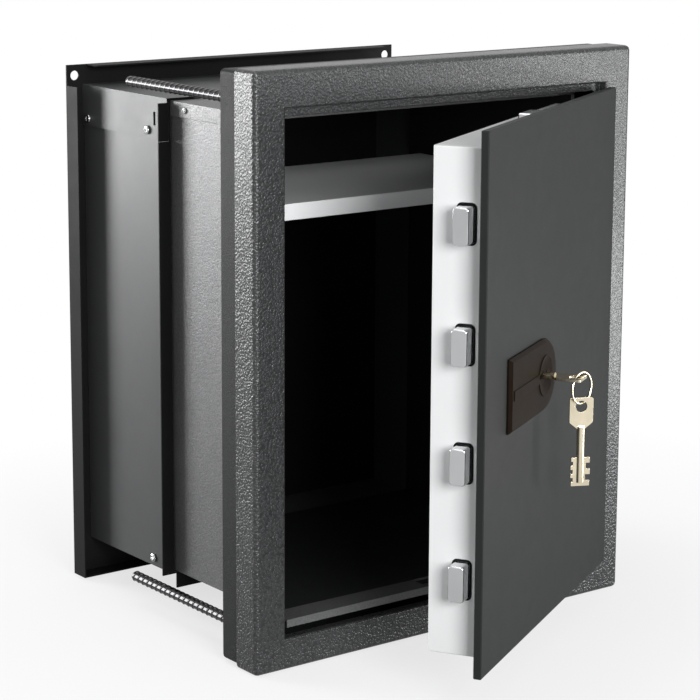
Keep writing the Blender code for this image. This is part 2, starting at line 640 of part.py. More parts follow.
def build_shelf(build, white):
    """Shelf with its front folded down, lying on an angle rail at each side."""
    half = BODY_INNER - SHELF_SIDE_GAP
    back = SHELF_FRONT + SHELF_DEPTH
    shelf = build.add("shelf", block((-half, half), (SHELF_FRONT, back),
                                     (SHELF_TOP - SHELF_FOLD, SHELF_TOP)), material=white)
    build.boolean(shelf, block((-half - OVERRUN, half + OVERRUN),
                               (SHELF_FRONT + SHELF_SHEET, back + OVERRUN),
                               (SHELF_TOP - SHELF_FOLD - OVERRUN, SHELF_TOP - SHELF_SHEET)))
    under = SHELF_TOP - SHELF_SHEET - SEAT_GAP
    start = SHELF_FRONT + SHELF_SHEET + RAIL_END_INSET
    wall = BODY_INNER - SEAT_GAP
    for side, name in ((-1, "shelf_rail_left"), (1, "shelf_rail_right")):
        x = sorted((side * wall, side * (wall - RAIL_WIDTH)))
        rail = build.add(name, block(x, (start, back - RAIL_END_INSET), (under - RAIL_HEIGHT, under)),
                         material=white)
        cut = sorted((side * (wall - RAIL_SHEET), side * (wall - RAIL_WIDTH - OVERRUN)))
        build.boolean(rail, block(cut, (start - OVERRUN, back + OVERRUN),
                                  (under - RAIL_HEIGHT - OVERRUN, under - RAIL_SHEET)))


# Rear sleeve


def sleeve_screw_places():
    """Name, distance behind the face and height of the sleeve's screws."""
    top = SLEEVE_TOP - SLEEVE_SCREW_FROM_TOP
    low = SLEEVE_FLOOR_UNDER + SLEEVE_SCREW_FROM_BOTTOM
    return {"rear": (SLEEVE_START + SLEEVE_SCREW_REAR, top),
            "front": (SLEEVE_START + SLEEVE_SCREW_FRONT, top),
            "bottom": (SLEEVE_START + SLEEVE_SCREW_FRONT, low)}


def build_sleeve(build, paint, black):
    """Telescopic rear half: folded shell, top panel, and the plate that closes the back."""
    shell = build.add("sleeve_shell", block((-SLEEVE_OUTER, SLEEVE_OUTER),
                                            (SLEEVE_START, SLEEVE_END),
                                            (SLEEVE_FLOOR_UNDER, SLEEVE_WALL_TOP)),
                      material=paint)
    flange = SLEEVE_OUTER + SLEEVE_FLANGE_SIDE
    rim = (SLEEVE_START, SLEEVE_START + SLEEVE_SHEET)
    tab_low = SLEEVE_TOP - SLEEVE_TAB_TOP_INSET - SLEEVE_TAB_HEIGHT
    build.boolean(shell, block((-flange, flange), rim,
                               (SLEEVE_FLOOR_UNDER, tab_low - SEAT_GAP)), "UNION")
    corner = SLEEVE_OUTER - SLEEVE_FLANGE_CORNER_INSET
    build.boolean(shell, block((-corner, corner), rim,
                               (SLEEVE_FLOOR_UNDER - SLEEVE_FLANGE_BOTTOM,
                                SLEEVE_FLOOR_UNDER + SLEEVE_SHEET / 2)), "UNION")
    build.boolean(shell, block((-SLEEVE_INNER, SLEEVE_INNER),
                               (SLEEVE_START - OVERRUN, SLEEVE_END + OVERRUN),
                               (SLEEVE_FLOOR_UNDER + SLEEVE_SHEET, SLEEVE_TOP + OVERRUN)))
    fold = SLEEVE_FOLD_OUT
    low = SLEEVE_TOP - SLEEVE_TOP_FOLD
    build.boolean(shell, block((-flange - OVERRUN, -SLEEVE_OUTER), (SLEEVE_START - OVERRUN, rim[1] + OVERRUN),
                               (low - SEAT_GAP, tab_low + OVERRUN)))
    build.boolean(shell, block((SLEEVE_OUTER, flange + OVERRUN), (SLEEVE_START - OVERRUN, rim[1] + OVERRUN),
                               (low - SEAT_GAP, tab_low + OVERRUN)))
    top = build.add("sleeve_top", block((-fold, fold), (SLEEVE_START, SLEEVE_END),
                                        (low, SLEEVE_TOP)), material=paint)
    tab = SLEEVE_OUTER + SLEEVE_FLANGE_SIDE
    build.boolean(top, block((-tab, tab), rim, (low, SLEEVE_TOP - SLEEVE_TAB_TOP_INSET)), "UNION")
    build.boolean(top, block((-SLEEVE_FOLD_IN, SLEEVE_FOLD_IN),
                             (SLEEVE_START - OVERRUN, SLEEVE_END + OVERRUN),
                             (low - OVERRUN, SLEEVE_TOP_UNDER)))
    slot_y = SLEEVE_START + SLOT_FROM_FRONT
    slot_z = SLEEVE_TOP - SLOT_FROM_TOP
    for side in (-1, 1):
        x = sorted((side * (SLEEVE_FOLD_IN - SEAT_GAP / 2), side * (fold + OVERRUN)))
        build.boolean(top, block(x, (slot_y - SLOT_WIDTH / 2, slot_y + SLOT_WIDTH / 2),
                                 (slot_z - SLOT_HEIGHT / 2, slot_z + SLOT_HEIGHT / 2)))
    for spot, place in sleeve_screw_places().items():
        outer = fold if spot != "bottom" else SLEEVE_OUTER
        for side, hand in ((-1, "left"), (1, "right")):
            hole = (side, SLEEVE_INNER - OVERRUN / 4, outer + OVERRUN, place)
            build.boolean(shell, screw_hole(*hole))
            if spot != "bottom":
                build.boolean(top, screw_hole(*hole))
            add_pan_screw(build, f"sleeve_screw_{spot}_{hand}", side, outer + SEAT_GAP, place)
    build_rear_plate(build, black)


def build_rear_plate(build, black):
    """Back plate with lips turned forward and a drilled ear left flat at each top corner."""
    half, low, high = REAR_PLATE_HALF_WIDTH, REAR_PLATE_BOTTOM, REAR_PLATE_TOP
    lip_front = REAR_PLATE_FRONT - REAR_LIP_DEPTH
    back = REAR_PLATE_FRONT + REAR_PLATE_SHEET
    plate = build.add("rear_plate", block((-half, half), (lip_front, back), (low, high)),
                      material=black)
    sheet = REAR_LIP_SHEET
    build.boolean(plate, block((-half + sheet, half - sheet), (lip_front - OVERRUN, REAR_PLATE_FRONT),
                               (low + sheet, high - sheet)))
    for side in (-1, 1):
        ear = sorted((side * (half + OVERRUN), side * (half - REAR_EAR)))
        build.boolean(plate, block(ear, (lip_front - OVERRUN, REAR_PLATE_FRONT),
                                   (high - REAR_SIDE_LIP_TOP / 2, high + OVERRUN)))
        build.boolean(plate, cylinder(REAR_EAR_HOLE_RADIUS, REAR_PLATE_FRONT - OVERRUN,
                                      back + OVERRUN, steps=SMALL_STEPS,
                                      place=(side * (half - REAR_EAR_HOLE_INSET),
                                             high - REAR_EAR_HOLE_INSET - sheet)))
    return plate


# Hinges


def build_hinges(build, paint, steel):
    """Brackets and pins in the stile, gooseneck arms on the door."""
    wall = FRAME_HALF - FRAME_SHEET - SEAT_GAP
    arm_half = HINGE_ARM_HEIGHT / 2
    ear_in = arm_half + HINGE_EAR_GAP
    ear_out = ear_in + HINGE_EAR_SHEET
    reach = HINGE_EYE_RADIUS + SEAT_GAP
    y = (HINGE_DEPTH - reach, HINGE_DEPTH + reach + HINGE_EAR_SHEET)
    for name, level in hinge_levels().items():
        bracket = build.add(f"hinge_bracket_{name}",
                            block((HINGE_X - reach, wall), y, (-ear_out, ear_out)),
                            origin=(0, 0, level), material=paint)
        build.boolean(bracket, block((HINGE_X - reach - OVERRUN, wall - HINGE_BASE_SHEET),
                                     (y[0] - OVERRUN, y[1] + OVERRUN), (-ear_in, ear_in)))
        build.boolean(bracket, cylinder(HINGE_PIN_RADIUS + SCREW_FIT, -ear_out - OVERRUN,
                                        ear_out + OVERRUN, "Z", (HINGE_X, HINGE_DEPTH)))
        seat = ear_out + SEAT_GAP
        pin = build.add(f"hinge_pin_{name}",
                        cylinder(HINGE_PIN_RADIUS, -seat, seat, "Z"),
                        origin=(HINGE_X, HINGE_DEPTH, level), material=steel)
        for face in (-1, 1):
            cap = sorted((face * seat, face * (seat + HINGE_PIN_HEAD)))
            build.boolean(pin, cylinder(HINGE_PIN_RADIUS + HINGE_PIN_HEAD / 2, cap[0], cap[1], "Z"),
                          "UNION")
        smooth(pin)
        arm = build.add_door(f"hinge_arm_{name}", prism(gooseneck(), -arm_half, arm_half, "Z"),
                             steel, origin=(HINGE_X, HINGE_DEPTH, level))
        build.boolean(arm, cylinder(HINGE_PIN_RADIUS + PIN_FIT, -arm_half - OVERRUN,
                                    arm_half + OVERRUN, "Z"))
        smooth(arm)


def gooseneck():
    """Plan of the arm about its pin: eye, run to the back, then forward to the door."""
    eye, wide, back = HINGE_EYE_RADIUS, HINGE_ARM_WIDTH, HINGE_ARM_BACK
    edge = math.hypot(HINGE_FROM_OPENING, HINGE_DEPTH)
    leg_right = -edge - HINGE_ARM_CLEARANCE
    leg_left = HOUSING_HINGE_X + SEAT_GAP - HINGE_X
    foot = DOOR_PLATE + SEAT_GAP - HINGE_DEPTH
    turn = wide / 2
    outline = arc((0, 0), eye, -180, 0, ROUND_STEPS // 2)
    round_out = wide * ARM_TURN_SHARE
    outline += arc((eye - round_out, back - round_out), round_out, 0, 90, ROUND_STEPS // 4)
    outline += arc((leg_left + turn, back - turn), turn, 90, 180, ROUND_STEPS // 6)
    outline += [(leg_left, foot), (leg_right, foot)]
    inner = wide / 3
    outline += arc((leg_right + inner, back - wide - inner), inner, 180, 90, ROUND_STEPS // 6)
    outline += arc((-eye - inner, back - wide - inner), inner, 90, 0, ROUND_STEPS // 6)
    return outline


# Door


def build_door(build, finish, white, bronze):
    """Front plate, white housing behind it and the cover that closes the housing."""
    plate = build.add_door("door_plate", block((-DOOR_HALF, DOOR_HALF), (0, DOOR_PLATE),
                                               (DOOR_BOTTOM, DOOR_TOP), DOOR_EDGE_RADIUS, 2), finish)
    build.boolean(plate, cylinder(KEYHOLE_ROUND_RADIUS, -OVERRUN, DOOR_PLATE + OVERRUN,
                                  place=(KEY_X, KEY_Z)))
    build.boolean(plate, keyhole_slot(-OVERRUN, DOOR_PLATE + OVERRUN))

    sheet = HOUSING_SHEET
    housing = build.add_door("door_housing", block(
        (HOUSING_LOCK_X, HOUSING_HINGE_X), (HOUSING_FRONT, HOUSING_BACK),
        (HOUSING_BOTTOM, HOUSING_TOP), HOUSING_EDGE_RADIUS, 2,
        keep=lambda shares, axis: axis == 1), white)
    build.boolean(housing, block((HOUSING_LOCK_X + sheet, HOUSING_HINGE_X - sheet),
                                 (HOUSING_FRONT - OVERRUN, HOUSING_BACK + OVERRUN),
                                 (HOUSING_BOTTOM + sheet, HOUSING_TOP - sheet)))
    for level in bolt_levels():
        half = BOLT_HEIGHT / 2 + BOLT_FIT
        build.boolean(housing, block((HOUSING_LOCK_X - OVERRUN, HOUSING_LOCK_X + sheet + OVERRUN),
                                     (BOLT_FRONT - BOLT_FIT, BOLT_BACK + BOLT_FIT),
                                     (level - half, level + half)))
    build.boolean(housing, end_bolt_slot(HOUSING_TOP - sheet - OVERRUN, HOUSING_TOP + OVERRUN))
    build.boolean(housing, end_bolt_slot(HOUSING_BOTTOM - OVERRUN, HOUSING_BOTTOM + sheet + OVERRUN))

    inset = sheet + SEAT_GAP
    x = (HOUSING_LOCK_X + inset, HOUSING_HINGE_X - inset)
    z = (HOUSING_BOTTOM + inset, HOUSING_TOP - inset)
    cover = build.add_door("door_back_cover", block(x, (HOUSING_BACK - COVER_FOLD, HOUSING_BACK), z),
                           white)
    build.boolean(cover, block((x[0] + COVER_SHEET, x[1] - COVER_SHEET),
                               (HOUSING_BACK - COVER_FOLD - OVERRUN, HOUSING_BACK - COVER_SHEET),
                               (z[0] + COVER_SHEET, z[1] - COVER_SHEET)))
    build_escutcheon(build, bronze)


def keyhole_slot(low, high):
    """Slot that the key's bits pass through, level as the key stands."""
    half = KEY_BIT_WIDTH / 2 + KEYHOLE_GAP
    return block((KEY_X - half, KEY_X + half), (low, high),
                 (KEY_Z - KEYHOLE_SLOT_HEIGHT / 2, KEY_Z + KEYHOLE_SLOT_HEIGHT / 2))


def escutcheon_outline(inset):
    """Plate square at the free edge and round at the hinge side, about the keyhole."""
    radius = ESCUTCHEON_HEIGHT / 2 - inset
    straight = ESCUTCHEON_LENGTH - ESCUTCHEON_HEIGHT / 2 - inset
    return arc((0, 0), radius, -90, 90, ROUND_STEPS // 2) + [(-straight, radius),
                                                            (-straight, -radius)]


def build_escutcheon(build, bronze):
    """Bevelled plate with a dish round the keyhole and a raised band beside it."""
    back = -SEAT_GAP
    front = back - ESCUTCHEON_THICKNESS
    work = bmesh.new()
    loops = []
    for y, inset in ((back, 0.0), (front + ESCUTCHEON_BEVEL, 0.0), (front, ESCUTCHEON_BEVEL)):
        loops.append([work.verts.new((x, y, z)) for x, z in escutcheon_outline(inset)])
    for near, far in zip(loops, loops[1:]):
        for i in range(len(near)):
            j = (i + 1) % len(near)
            work.faces.new((near[i], near[j], far[j], far[i]))
    work.faces.new(loops[0])
    work.faces.new(loops[-1])
    plate = build.add_door("escutcheon", mesh_from("escutcheon", work), bronze,
                           origin=(KEY_X, 0, KEY_Z))
    end = -(ESCUTCHEON_LENGTH - ESCUTCHEON_HEIGHT / 2) + ESCUTCHEON_BEVEL + BAND_END_GAP
    build.boolean(plate, block((end, -DISH_RADIUS / 2), (front - BAND_PROUD, front + BAND_PROUD),
                               (-BAND_HEIGHT / 2, BAND_HEIGHT / 2)), "UNION")
    build.boolean(plate, cylinder(DISH_RADIUS + BAND_PROUD, front - BAND_PROUD, front + BAND_PROUD,
                                  top_radius=DISH_RADIUS + BAND_PROUD), "UNION")
    dish = cylinder(DISH_RADIUS + (DISH_RADIUS - DISH_FLOOR_RADIUS) * OVERRUN / DISH_DEPTH,
                    front - BAND_PROUD - OVERRUN, front - BAND_PROUD + DISH_DEPTH,
                    top_radius=DISH_FLOOR_RADIUS)
    build.boolean(plate, dish)
    build.boolean(plate, cylinder(KEYHOLE_ROUND_RADIUS, front - OVERRUN, back + OVERRUN))
    half = KEY_BIT_WIDTH / 2 + KEYHOLE_GAP
    build.boolean(plate, block((-half, half), (front - OVERRUN, back + OVERRUN),
                               (-KEYHOLE_SLOT_HEIGHT / 2, KEYHOLE_SLOT_HEIGHT / 2)))
    return smooth(plate, 25.0)


def build_bolt_work(build, chrome, steel):
    """Carrier bar with four locking bolts, the upright bolts and the lock case."""
    levels = bolt_levels()
    bolt_end = BOLT_TIP_X + BOLT_LENGTH
    for number, level in enumerate(levels, start=1):
        bolt = build.add_door(f"locking_bolt_{number}", block(
            (0, BOLT_LENGTH), (BOLT_FRONT, BOLT_BACK),
            (-BOLT_HEIGHT / 2, BOLT_HEIGHT / 2), BOLT_EDGE_RADIUS, 2,
            keep=lambda shares, axis: axis == 0 or shares[0] < -0.5), chrome,
            origin=(BOLT_TIP_X, 0, level))
        smooth(bolt)
    overlap = BOLT_HEIGHT / 2
    build.add_door("bolt_carrier", block((bolt_end - CARRIER_WIDTH, bolt_end),
                                         (CARRIER_FRONT, CARRIER_FRONT + CARRIER_SHEET),
                                         (levels[0] - overlap, levels[-1] + overlap)), steel)

    half = BOLT_HEIGHT / 2
    rod_half = END_BOLT_ROD_WIDTH / 2
    rod_y = ((BOLT_FRONT + BOLT_BACK - END_BOLT_ROD_SHEET) / 2,
             (BOLT_FRONT + BOLT_BACK + END_BOLT_ROD_SHEET) / 2)
    case_low, case_high = KEY_Z - LOCK_CASE_HEIGHT / 2, KEY_Z + LOCK_CASE_HEIGHT / 2
    tip = HOUSING_TOP + END_BOLT_PROUD_TOP
    top = build.add_door("top_bolt", block((-half, half), (BOLT_FRONT, BOLT_BACK),
                                           (tip - END_BOLT_LENGTH, tip), BOLT_EDGE_RADIUS, 2,
                                           keep=lambda shares, axis: axis == 2 or shares[2] > 0.5),
                         chrome)
    build.boolean(top, block((-rod_half, rod_half), rod_y,
                             (case_high + SEAT_GAP, tip - END_BOLT_LENGTH / 2)), "UNION")
    tip = HOUSING_BOTTOM - END_BOLT_PROUD_BOTTOM
    low = build.add_door("bottom_bolt", block((-half, half), (BOLT_FRONT, BOLT_BACK),
                                              (tip, tip + END_BOLT_LENGTH), BOLT_EDGE_RADIUS, 2,
                                              keep=lambda shares, axis: axis == 2 or shares[2] < -0.5),
                         chrome)
    build.boolean(low, block((-rod_half, rod_half), rod_y,
                             (tip + END_BOLT_LENGTH / 2, case_low - SEAT_GAP)), "UNION")
    smooth(top)
    smooth(low)

    case = build.add_door("lock_case", block(
        (-LOCK_CASE_WIDTH / 2, LOCK_CASE_WIDTH / 2), (LOCK_CASE_FRONT, LOCK_CASE_BACK),
        (-LOCK_CASE_HEIGHT / 2, LOCK_CASE_HEIGHT / 2), LOCK_CASE_EDGE_RADIUS, 2), steel,
        origin=(KEY_X, 0, KEY_Z))
    build.boolean(case, cylinder(LOCK_BORE_RADIUS, LOCK_CASE_FRONT - OVERRUN,
                                 LOCK_CASE_BACK + OVERRUN))
    smooth(case)


# Keys


def key_half_outline(side, shares):
    """One side of the flat key, from the bow's end down the neck and the stepped comb."""
    half, neck = KEY_BOW_WIDTH / 2, KEY_SHANK_RADIUS * NECK_WIDTH_SHARE
    soft, low = KEY_BOW_WIDTH / 12, -KEY_BOW_LENGTH
    outline = arc((half - soft, -soft), soft, 90, 0, 3)
    outline += arc((half - soft, low + soft), soft, 0, -60, 2)
    outline += [(neck, low - KEY_NECK_LENGTH), (neck, -KEY_LENGTH + KEY_BIT_LENGTH)]
    step = KEY_BIT_LENGTH / len(shares)
    for i, share in enumerate(shares):
        reach = KEY_BIT_WIDTH / 2 * share
        top = -KEY_LENGTH + KEY_BIT_LENGTH - step * i
        outline += [(reach, top), (reach, top - step)]
    return [(side * across, up) for across, up in outline]


def key_mesh(build):
    """Key along -Z from the bow's end, flat in the XZ plane."""
    flat = KEY_THICKNESS / 2
    outline = (key_half_outline(-1, BIT_LEFT_SHARES)
               + key_half_outline(1, BIT_RIGHT_SHARES)[::-1])
    key = build.add("key_blank", prism(outline, -flat, flat))
    build.boolean(key, cylinder(KEY_HOLE_RADIUS, -KEY_THICKNESS, KEY_THICKNESS,
                                place=(0, -KEY_HOLE_FROM_END)))
    build.boolean(key, cylinder(KEY_SHANK_RADIUS, -KEY_LENGTH + KEY_BIT_LENGTH / 8,
                                -KEY_BOW_LENGTH - KEY_NECK_LENGTH / 2, "Z", steps=SMALL_STEPS),
                  "UNION")
    mesh = baked(key)
    mesh.name = "double_bit_key"
    return mesh


def build_keys(build, brass):
    """Key in the lock, ring through its bow and the spare that hangs on the ring."""
    mesh = key_mesh(build)
    smooth(build.add_door("key", mesh, brass, origin=(KEY_X, -KEY_BOW_STANDS_OUT, KEY_Z),
                          rotation=(math.pi / 2, 0, 0)))
    hole = door_point(KEY_X, -KEY_BOW_STANDS_OUT + KEY_HOLE_FROM_END, KEY_Z)
    along = Vector((math.cos(RING_TURN), math.sin(RING_TURN), 0))
    lean = math.asin(RING_DROP / RING_RADIUS)
    seat = (KEY_HOLE_RADIUS - KEY_THICKNESS / 2 * math.tan(lean)
            - (RING_WIRE_RADIUS + RING_FIT) / math.cos(lean))
    centre = hole + along * (seat + RING_RADIUS * math.cos(lean)) - Vector((0, 0, RING_DROP))
    bpy.ops.mesh.primitive_torus_add(major_radius=RING_RADIUS, minor_radius=RING_WIRE_RADIUS,
                                     major_segments=40, minor_segments=10)
    torus = bpy.context.object
    ring_mesh = torus.data
    bpy.data.objects.remove(torus, do_unlink=True)
    smooth(build.add("key_ring", ring_mesh, origin=centre, rotation=(math.pi / 2, 0, RING_TURN),
                     material=brass))
    wire = centre - Vector((0, 0, RING_RADIUS))
    hang = RING_WIRE_RADIUS + SEAT_GAP + SPARE_KEY_SLACK - KEY_HOLE_RADIUS
    smooth(build.add("spare_key", mesh.copy(), material=brass, rotation=(0, 0, SPARE_KEY_TURN),
                     origin=wire + Vector((0, 0, hang + KEY_HOLE_FROM_END))))


def main():
    clear_scene()
    build = Builder()
    hammered = make_material("hammered_grey_paint", (0.105, 0.108, 0.110), 0.45, 0.30)
    textured = make_material("light_grey_texture_paint", (0.230, 0.235, 0.240), 0.55, 0.20)
    smooth_grey = make_material("smooth_grey_paint", (0.120, 0.125, 0.128), 0.40, 0.25)
    black = make_material("black_paint", (0.016, 0.017, 0.018), 0.42, 0.10)
    door_grey = make_material("dark_grey_paint", (0.062, 0.066, 0.068), 0.50, 0.20)
    white = make_material("white_powder_coat", (0.86, 0.87, 0.88), 0.38, 0.0)
    bronze = make_material("dark_bronze", (0.095, 0.078, 0.058), 0.38, 0.70)
    chrome = make_material("polished_chrome", (0.78, 0.79, 0.80), 0.12, 1.0)
    brass = make_material("pale_brass", (0.83, 0.73, 0.53), 0.22, 1.0)
    steel = make_material("plain_steel", (0.42, 0.43, 0.44), 0.35, 0.9)
    build.zinc = make_material("zinc_plate", (0.60, 0.61, 0.62), 0.30, 0.9)
    ribbed = make_material("blackened_steel", (0.050, 0.050, 0.052), 0.32, 0.8)

    build_front_frame(build, hammered)
    build_rear_section(build, door_grey)
    build_anchors(build, ribbed, build.zinc)
    build_body(build, textured, white)
    build_shelf(build, white)
    build_sleeve(build, smooth_grey, black)
    build_hinges(build, steel, steel)
    build_door(build, door_grey, white, bronze)
    build_bolt_work(build, chrome, steel)
    build_keys(build, brass)


main()
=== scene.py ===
"""Dressed wall safe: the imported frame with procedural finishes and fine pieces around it."""

from __future__ import annotations

import json
import logging
import math
from dataclasses import dataclass, field
from enum import Enum
from functools import cache

import bmesh
import bpy
import numpy as np
from mathutils import Matrix, Vector

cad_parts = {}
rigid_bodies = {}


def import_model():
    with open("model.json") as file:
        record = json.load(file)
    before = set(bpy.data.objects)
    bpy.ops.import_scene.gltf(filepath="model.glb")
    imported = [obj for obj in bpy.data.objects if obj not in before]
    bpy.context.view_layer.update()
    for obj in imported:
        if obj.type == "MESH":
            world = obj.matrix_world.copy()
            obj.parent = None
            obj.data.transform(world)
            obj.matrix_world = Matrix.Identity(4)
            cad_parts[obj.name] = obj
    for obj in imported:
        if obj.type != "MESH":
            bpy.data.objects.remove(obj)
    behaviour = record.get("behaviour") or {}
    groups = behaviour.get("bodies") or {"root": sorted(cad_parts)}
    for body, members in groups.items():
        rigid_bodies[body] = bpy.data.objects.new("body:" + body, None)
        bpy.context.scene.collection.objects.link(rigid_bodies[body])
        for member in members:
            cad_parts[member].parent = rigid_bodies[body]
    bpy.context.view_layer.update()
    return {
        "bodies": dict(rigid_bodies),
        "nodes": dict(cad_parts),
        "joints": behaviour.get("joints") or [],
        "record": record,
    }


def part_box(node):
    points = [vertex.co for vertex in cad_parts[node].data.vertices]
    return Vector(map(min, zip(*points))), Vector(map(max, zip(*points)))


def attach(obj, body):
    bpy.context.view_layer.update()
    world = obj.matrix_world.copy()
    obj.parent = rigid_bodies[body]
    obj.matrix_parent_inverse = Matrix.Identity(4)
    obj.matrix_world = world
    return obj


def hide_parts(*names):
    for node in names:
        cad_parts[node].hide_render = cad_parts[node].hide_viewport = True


LOG = logging.getLogger("wall_safe")
MM = 0.001
Colour = tuple[float, float, float]
Point = tuple[float, float, float]
WHITE: Colour = (1.0, 1.0, 1.0)
NUMBER, COLOUR = "NodeSocketFloat", "NodeSocketColor"


class Body(Enum):
    """The frame's moving bodies."""

    FRAME = "wall_frame"
    SLEEVE = "rear_sleeve"
    DOOR = "door"
    BOLTS = "bolt_work"
    UPPER = "upper_bolt"
    LOWER = "lower_bolt"
    KEY = "lock_key"
    RING = "ring"
    SPARE = "loose_key"


# Places shared with the frame


@dataclass(frozen=True)
class Datum:
    """The frame's own measures that fine pieces are placed by, in metres."""

    frame_depth: float = 52.0 * MM
    origin_height: float = 20.0 * MM
    hinge_x: float = 193.9 * MM
    hinge_y: float = 14.7 * MM
    rest_angle: float = math.radians(30.35)

    def shift(self) -> np.ndarray:
        """Offset from the datum to the row frame."""
        return np.array([0.0, -self.frame_depth, -self.origin_height])

    def fixed(self, points: np.ndarray) -> np.ndarray:
        """Move datum points into the row frame.

        Args:
            points: rows of x, y, z from the datum.

        Returns:
            The same points in the row frame.
        """
        return np.asarray(points, float) + self.shift()

    def door(self, points: np.ndarray) -> np.ndarray:
        """Turn points drawn on the closed door to where the door stands at rest.

        Each point turns about the upright hinge axis by the rest angle, then moves as the datum.

        Args:
            points: rows of x, y, z on the closed door.

        Returns:
            The points in the row frame.
        """
        pivot = np.array([self.hinge_x, self.hinge_y, 0.0])
        cos, sin = math.cos(self.rest_angle), math.sin(self.rest_angle)
        turn = np.array([[cos, -sin, 0.0], [sin, cos, 0.0], [0.0, 0.0, 1.0]])
        return (np.asarray(points, float) - pivot) @ turn.T + pivot + self.shift()


DATUM = Datum()


# Meshes from arrays


def add_object(name: str, data: bpy.types.ID) -> bpy.types.Object:
    """Put a mesh, a lamp or a camera into the scene."""
    new = bpy.data.objects.new(name, data)
    bpy.context.scene.collection.objects.link(new)
    return new


class Shape:
    """Surfaces worked out as arrays and put into meshes."""

    @staticmethod
    def mesh(name: str, points: np.ndarray, faces: np.ndarray | list,
             angle: float = 35.0) -> bpy.types.Object:
        """Make a closed object from points and faces, its place in its mesh.

        Faces shade smooth below the angle and are turned outwards.

        Args:
            name: the piece's name.
            points: rows of x, y, z.
            faces: rows of point numbers.
            angle: crease angle in degrees.

        Returns:
            The new object, linked to the scene.
        """
        piece = Shape.sheet(name, points, faces)
        piece.data.shade_smooth()
        piece.data.set_sharp_from_angle(angle=math.radians(angle))
        work = bmesh.new()
        work.from_mesh(piece.data)
        bmesh.ops.recalc_face_normals(work, faces=work.faces)
        work.to_mesh(piece.data)
        work.free()
        return piece

    @staticmethod
    def sheet(name: str, points: np.ndarray, faces: np.ndarray | list) -> bpy.types.Object:
        """Make a flat-shaded object from points and faces.

        Args:
            name: the object's name.
            points: rows of x, y, z.
            faces: rows of point numbers.

        Returns:
            The new object, linked to the scene.
        """
        data = bpy.data.meshes.new(name)
        data.from_pydata(points.tolist(), [], [list(map(int, face)) for face in faces])
        data.update()
        return add_object(name, data)

    @staticmethod
    def grid_faces(rows: int, columns: int, wrap_rows: bool = False) -> np.ndarray:
        """Quads of a grid of points stored row by row, each row a closed round.

        Args:
            rows: number of rows.
            columns: number of points in a row.
            wrap_rows: whether the last row joins the first.

        Returns:
            Four point numbers for each quad.
        """
        i, j = np.meshgrid(np.arange(rows if wrap_rows else rows - 1), np.arange(columns),
                           indexing="ij")
        below, beside = (i + 1) % rows, (j + 1) % columns
        return np.stack([i * columns + j, i * columns + beside, below * columns + beside,
                         below * columns + j], axis=-1).reshape(-1, 4)

    @classmethod
    def capped(cls, rows: int, columns: int) -> list[list[int]]:
        """Faces of a grid of closed rounds with a flat face over both ends.

        Args:
            rows: number of rows.
            columns: number of points in a row.

        Returns:
            Point numbers of each face.
        """
        first = list(range(columns))
        last = list(range((rows - 1) * columns, rows * columns))
        return cls.grid_faces(rows, columns).tolist() + [first, last]

    @staticmethod
    def circle(count: int) -> np.ndarray:
        """Evenly spaced turns of a full circle, in radians."""
        return np.linspace(0, 2 * math.pi, count, endpoint=False)


# Shader helpers


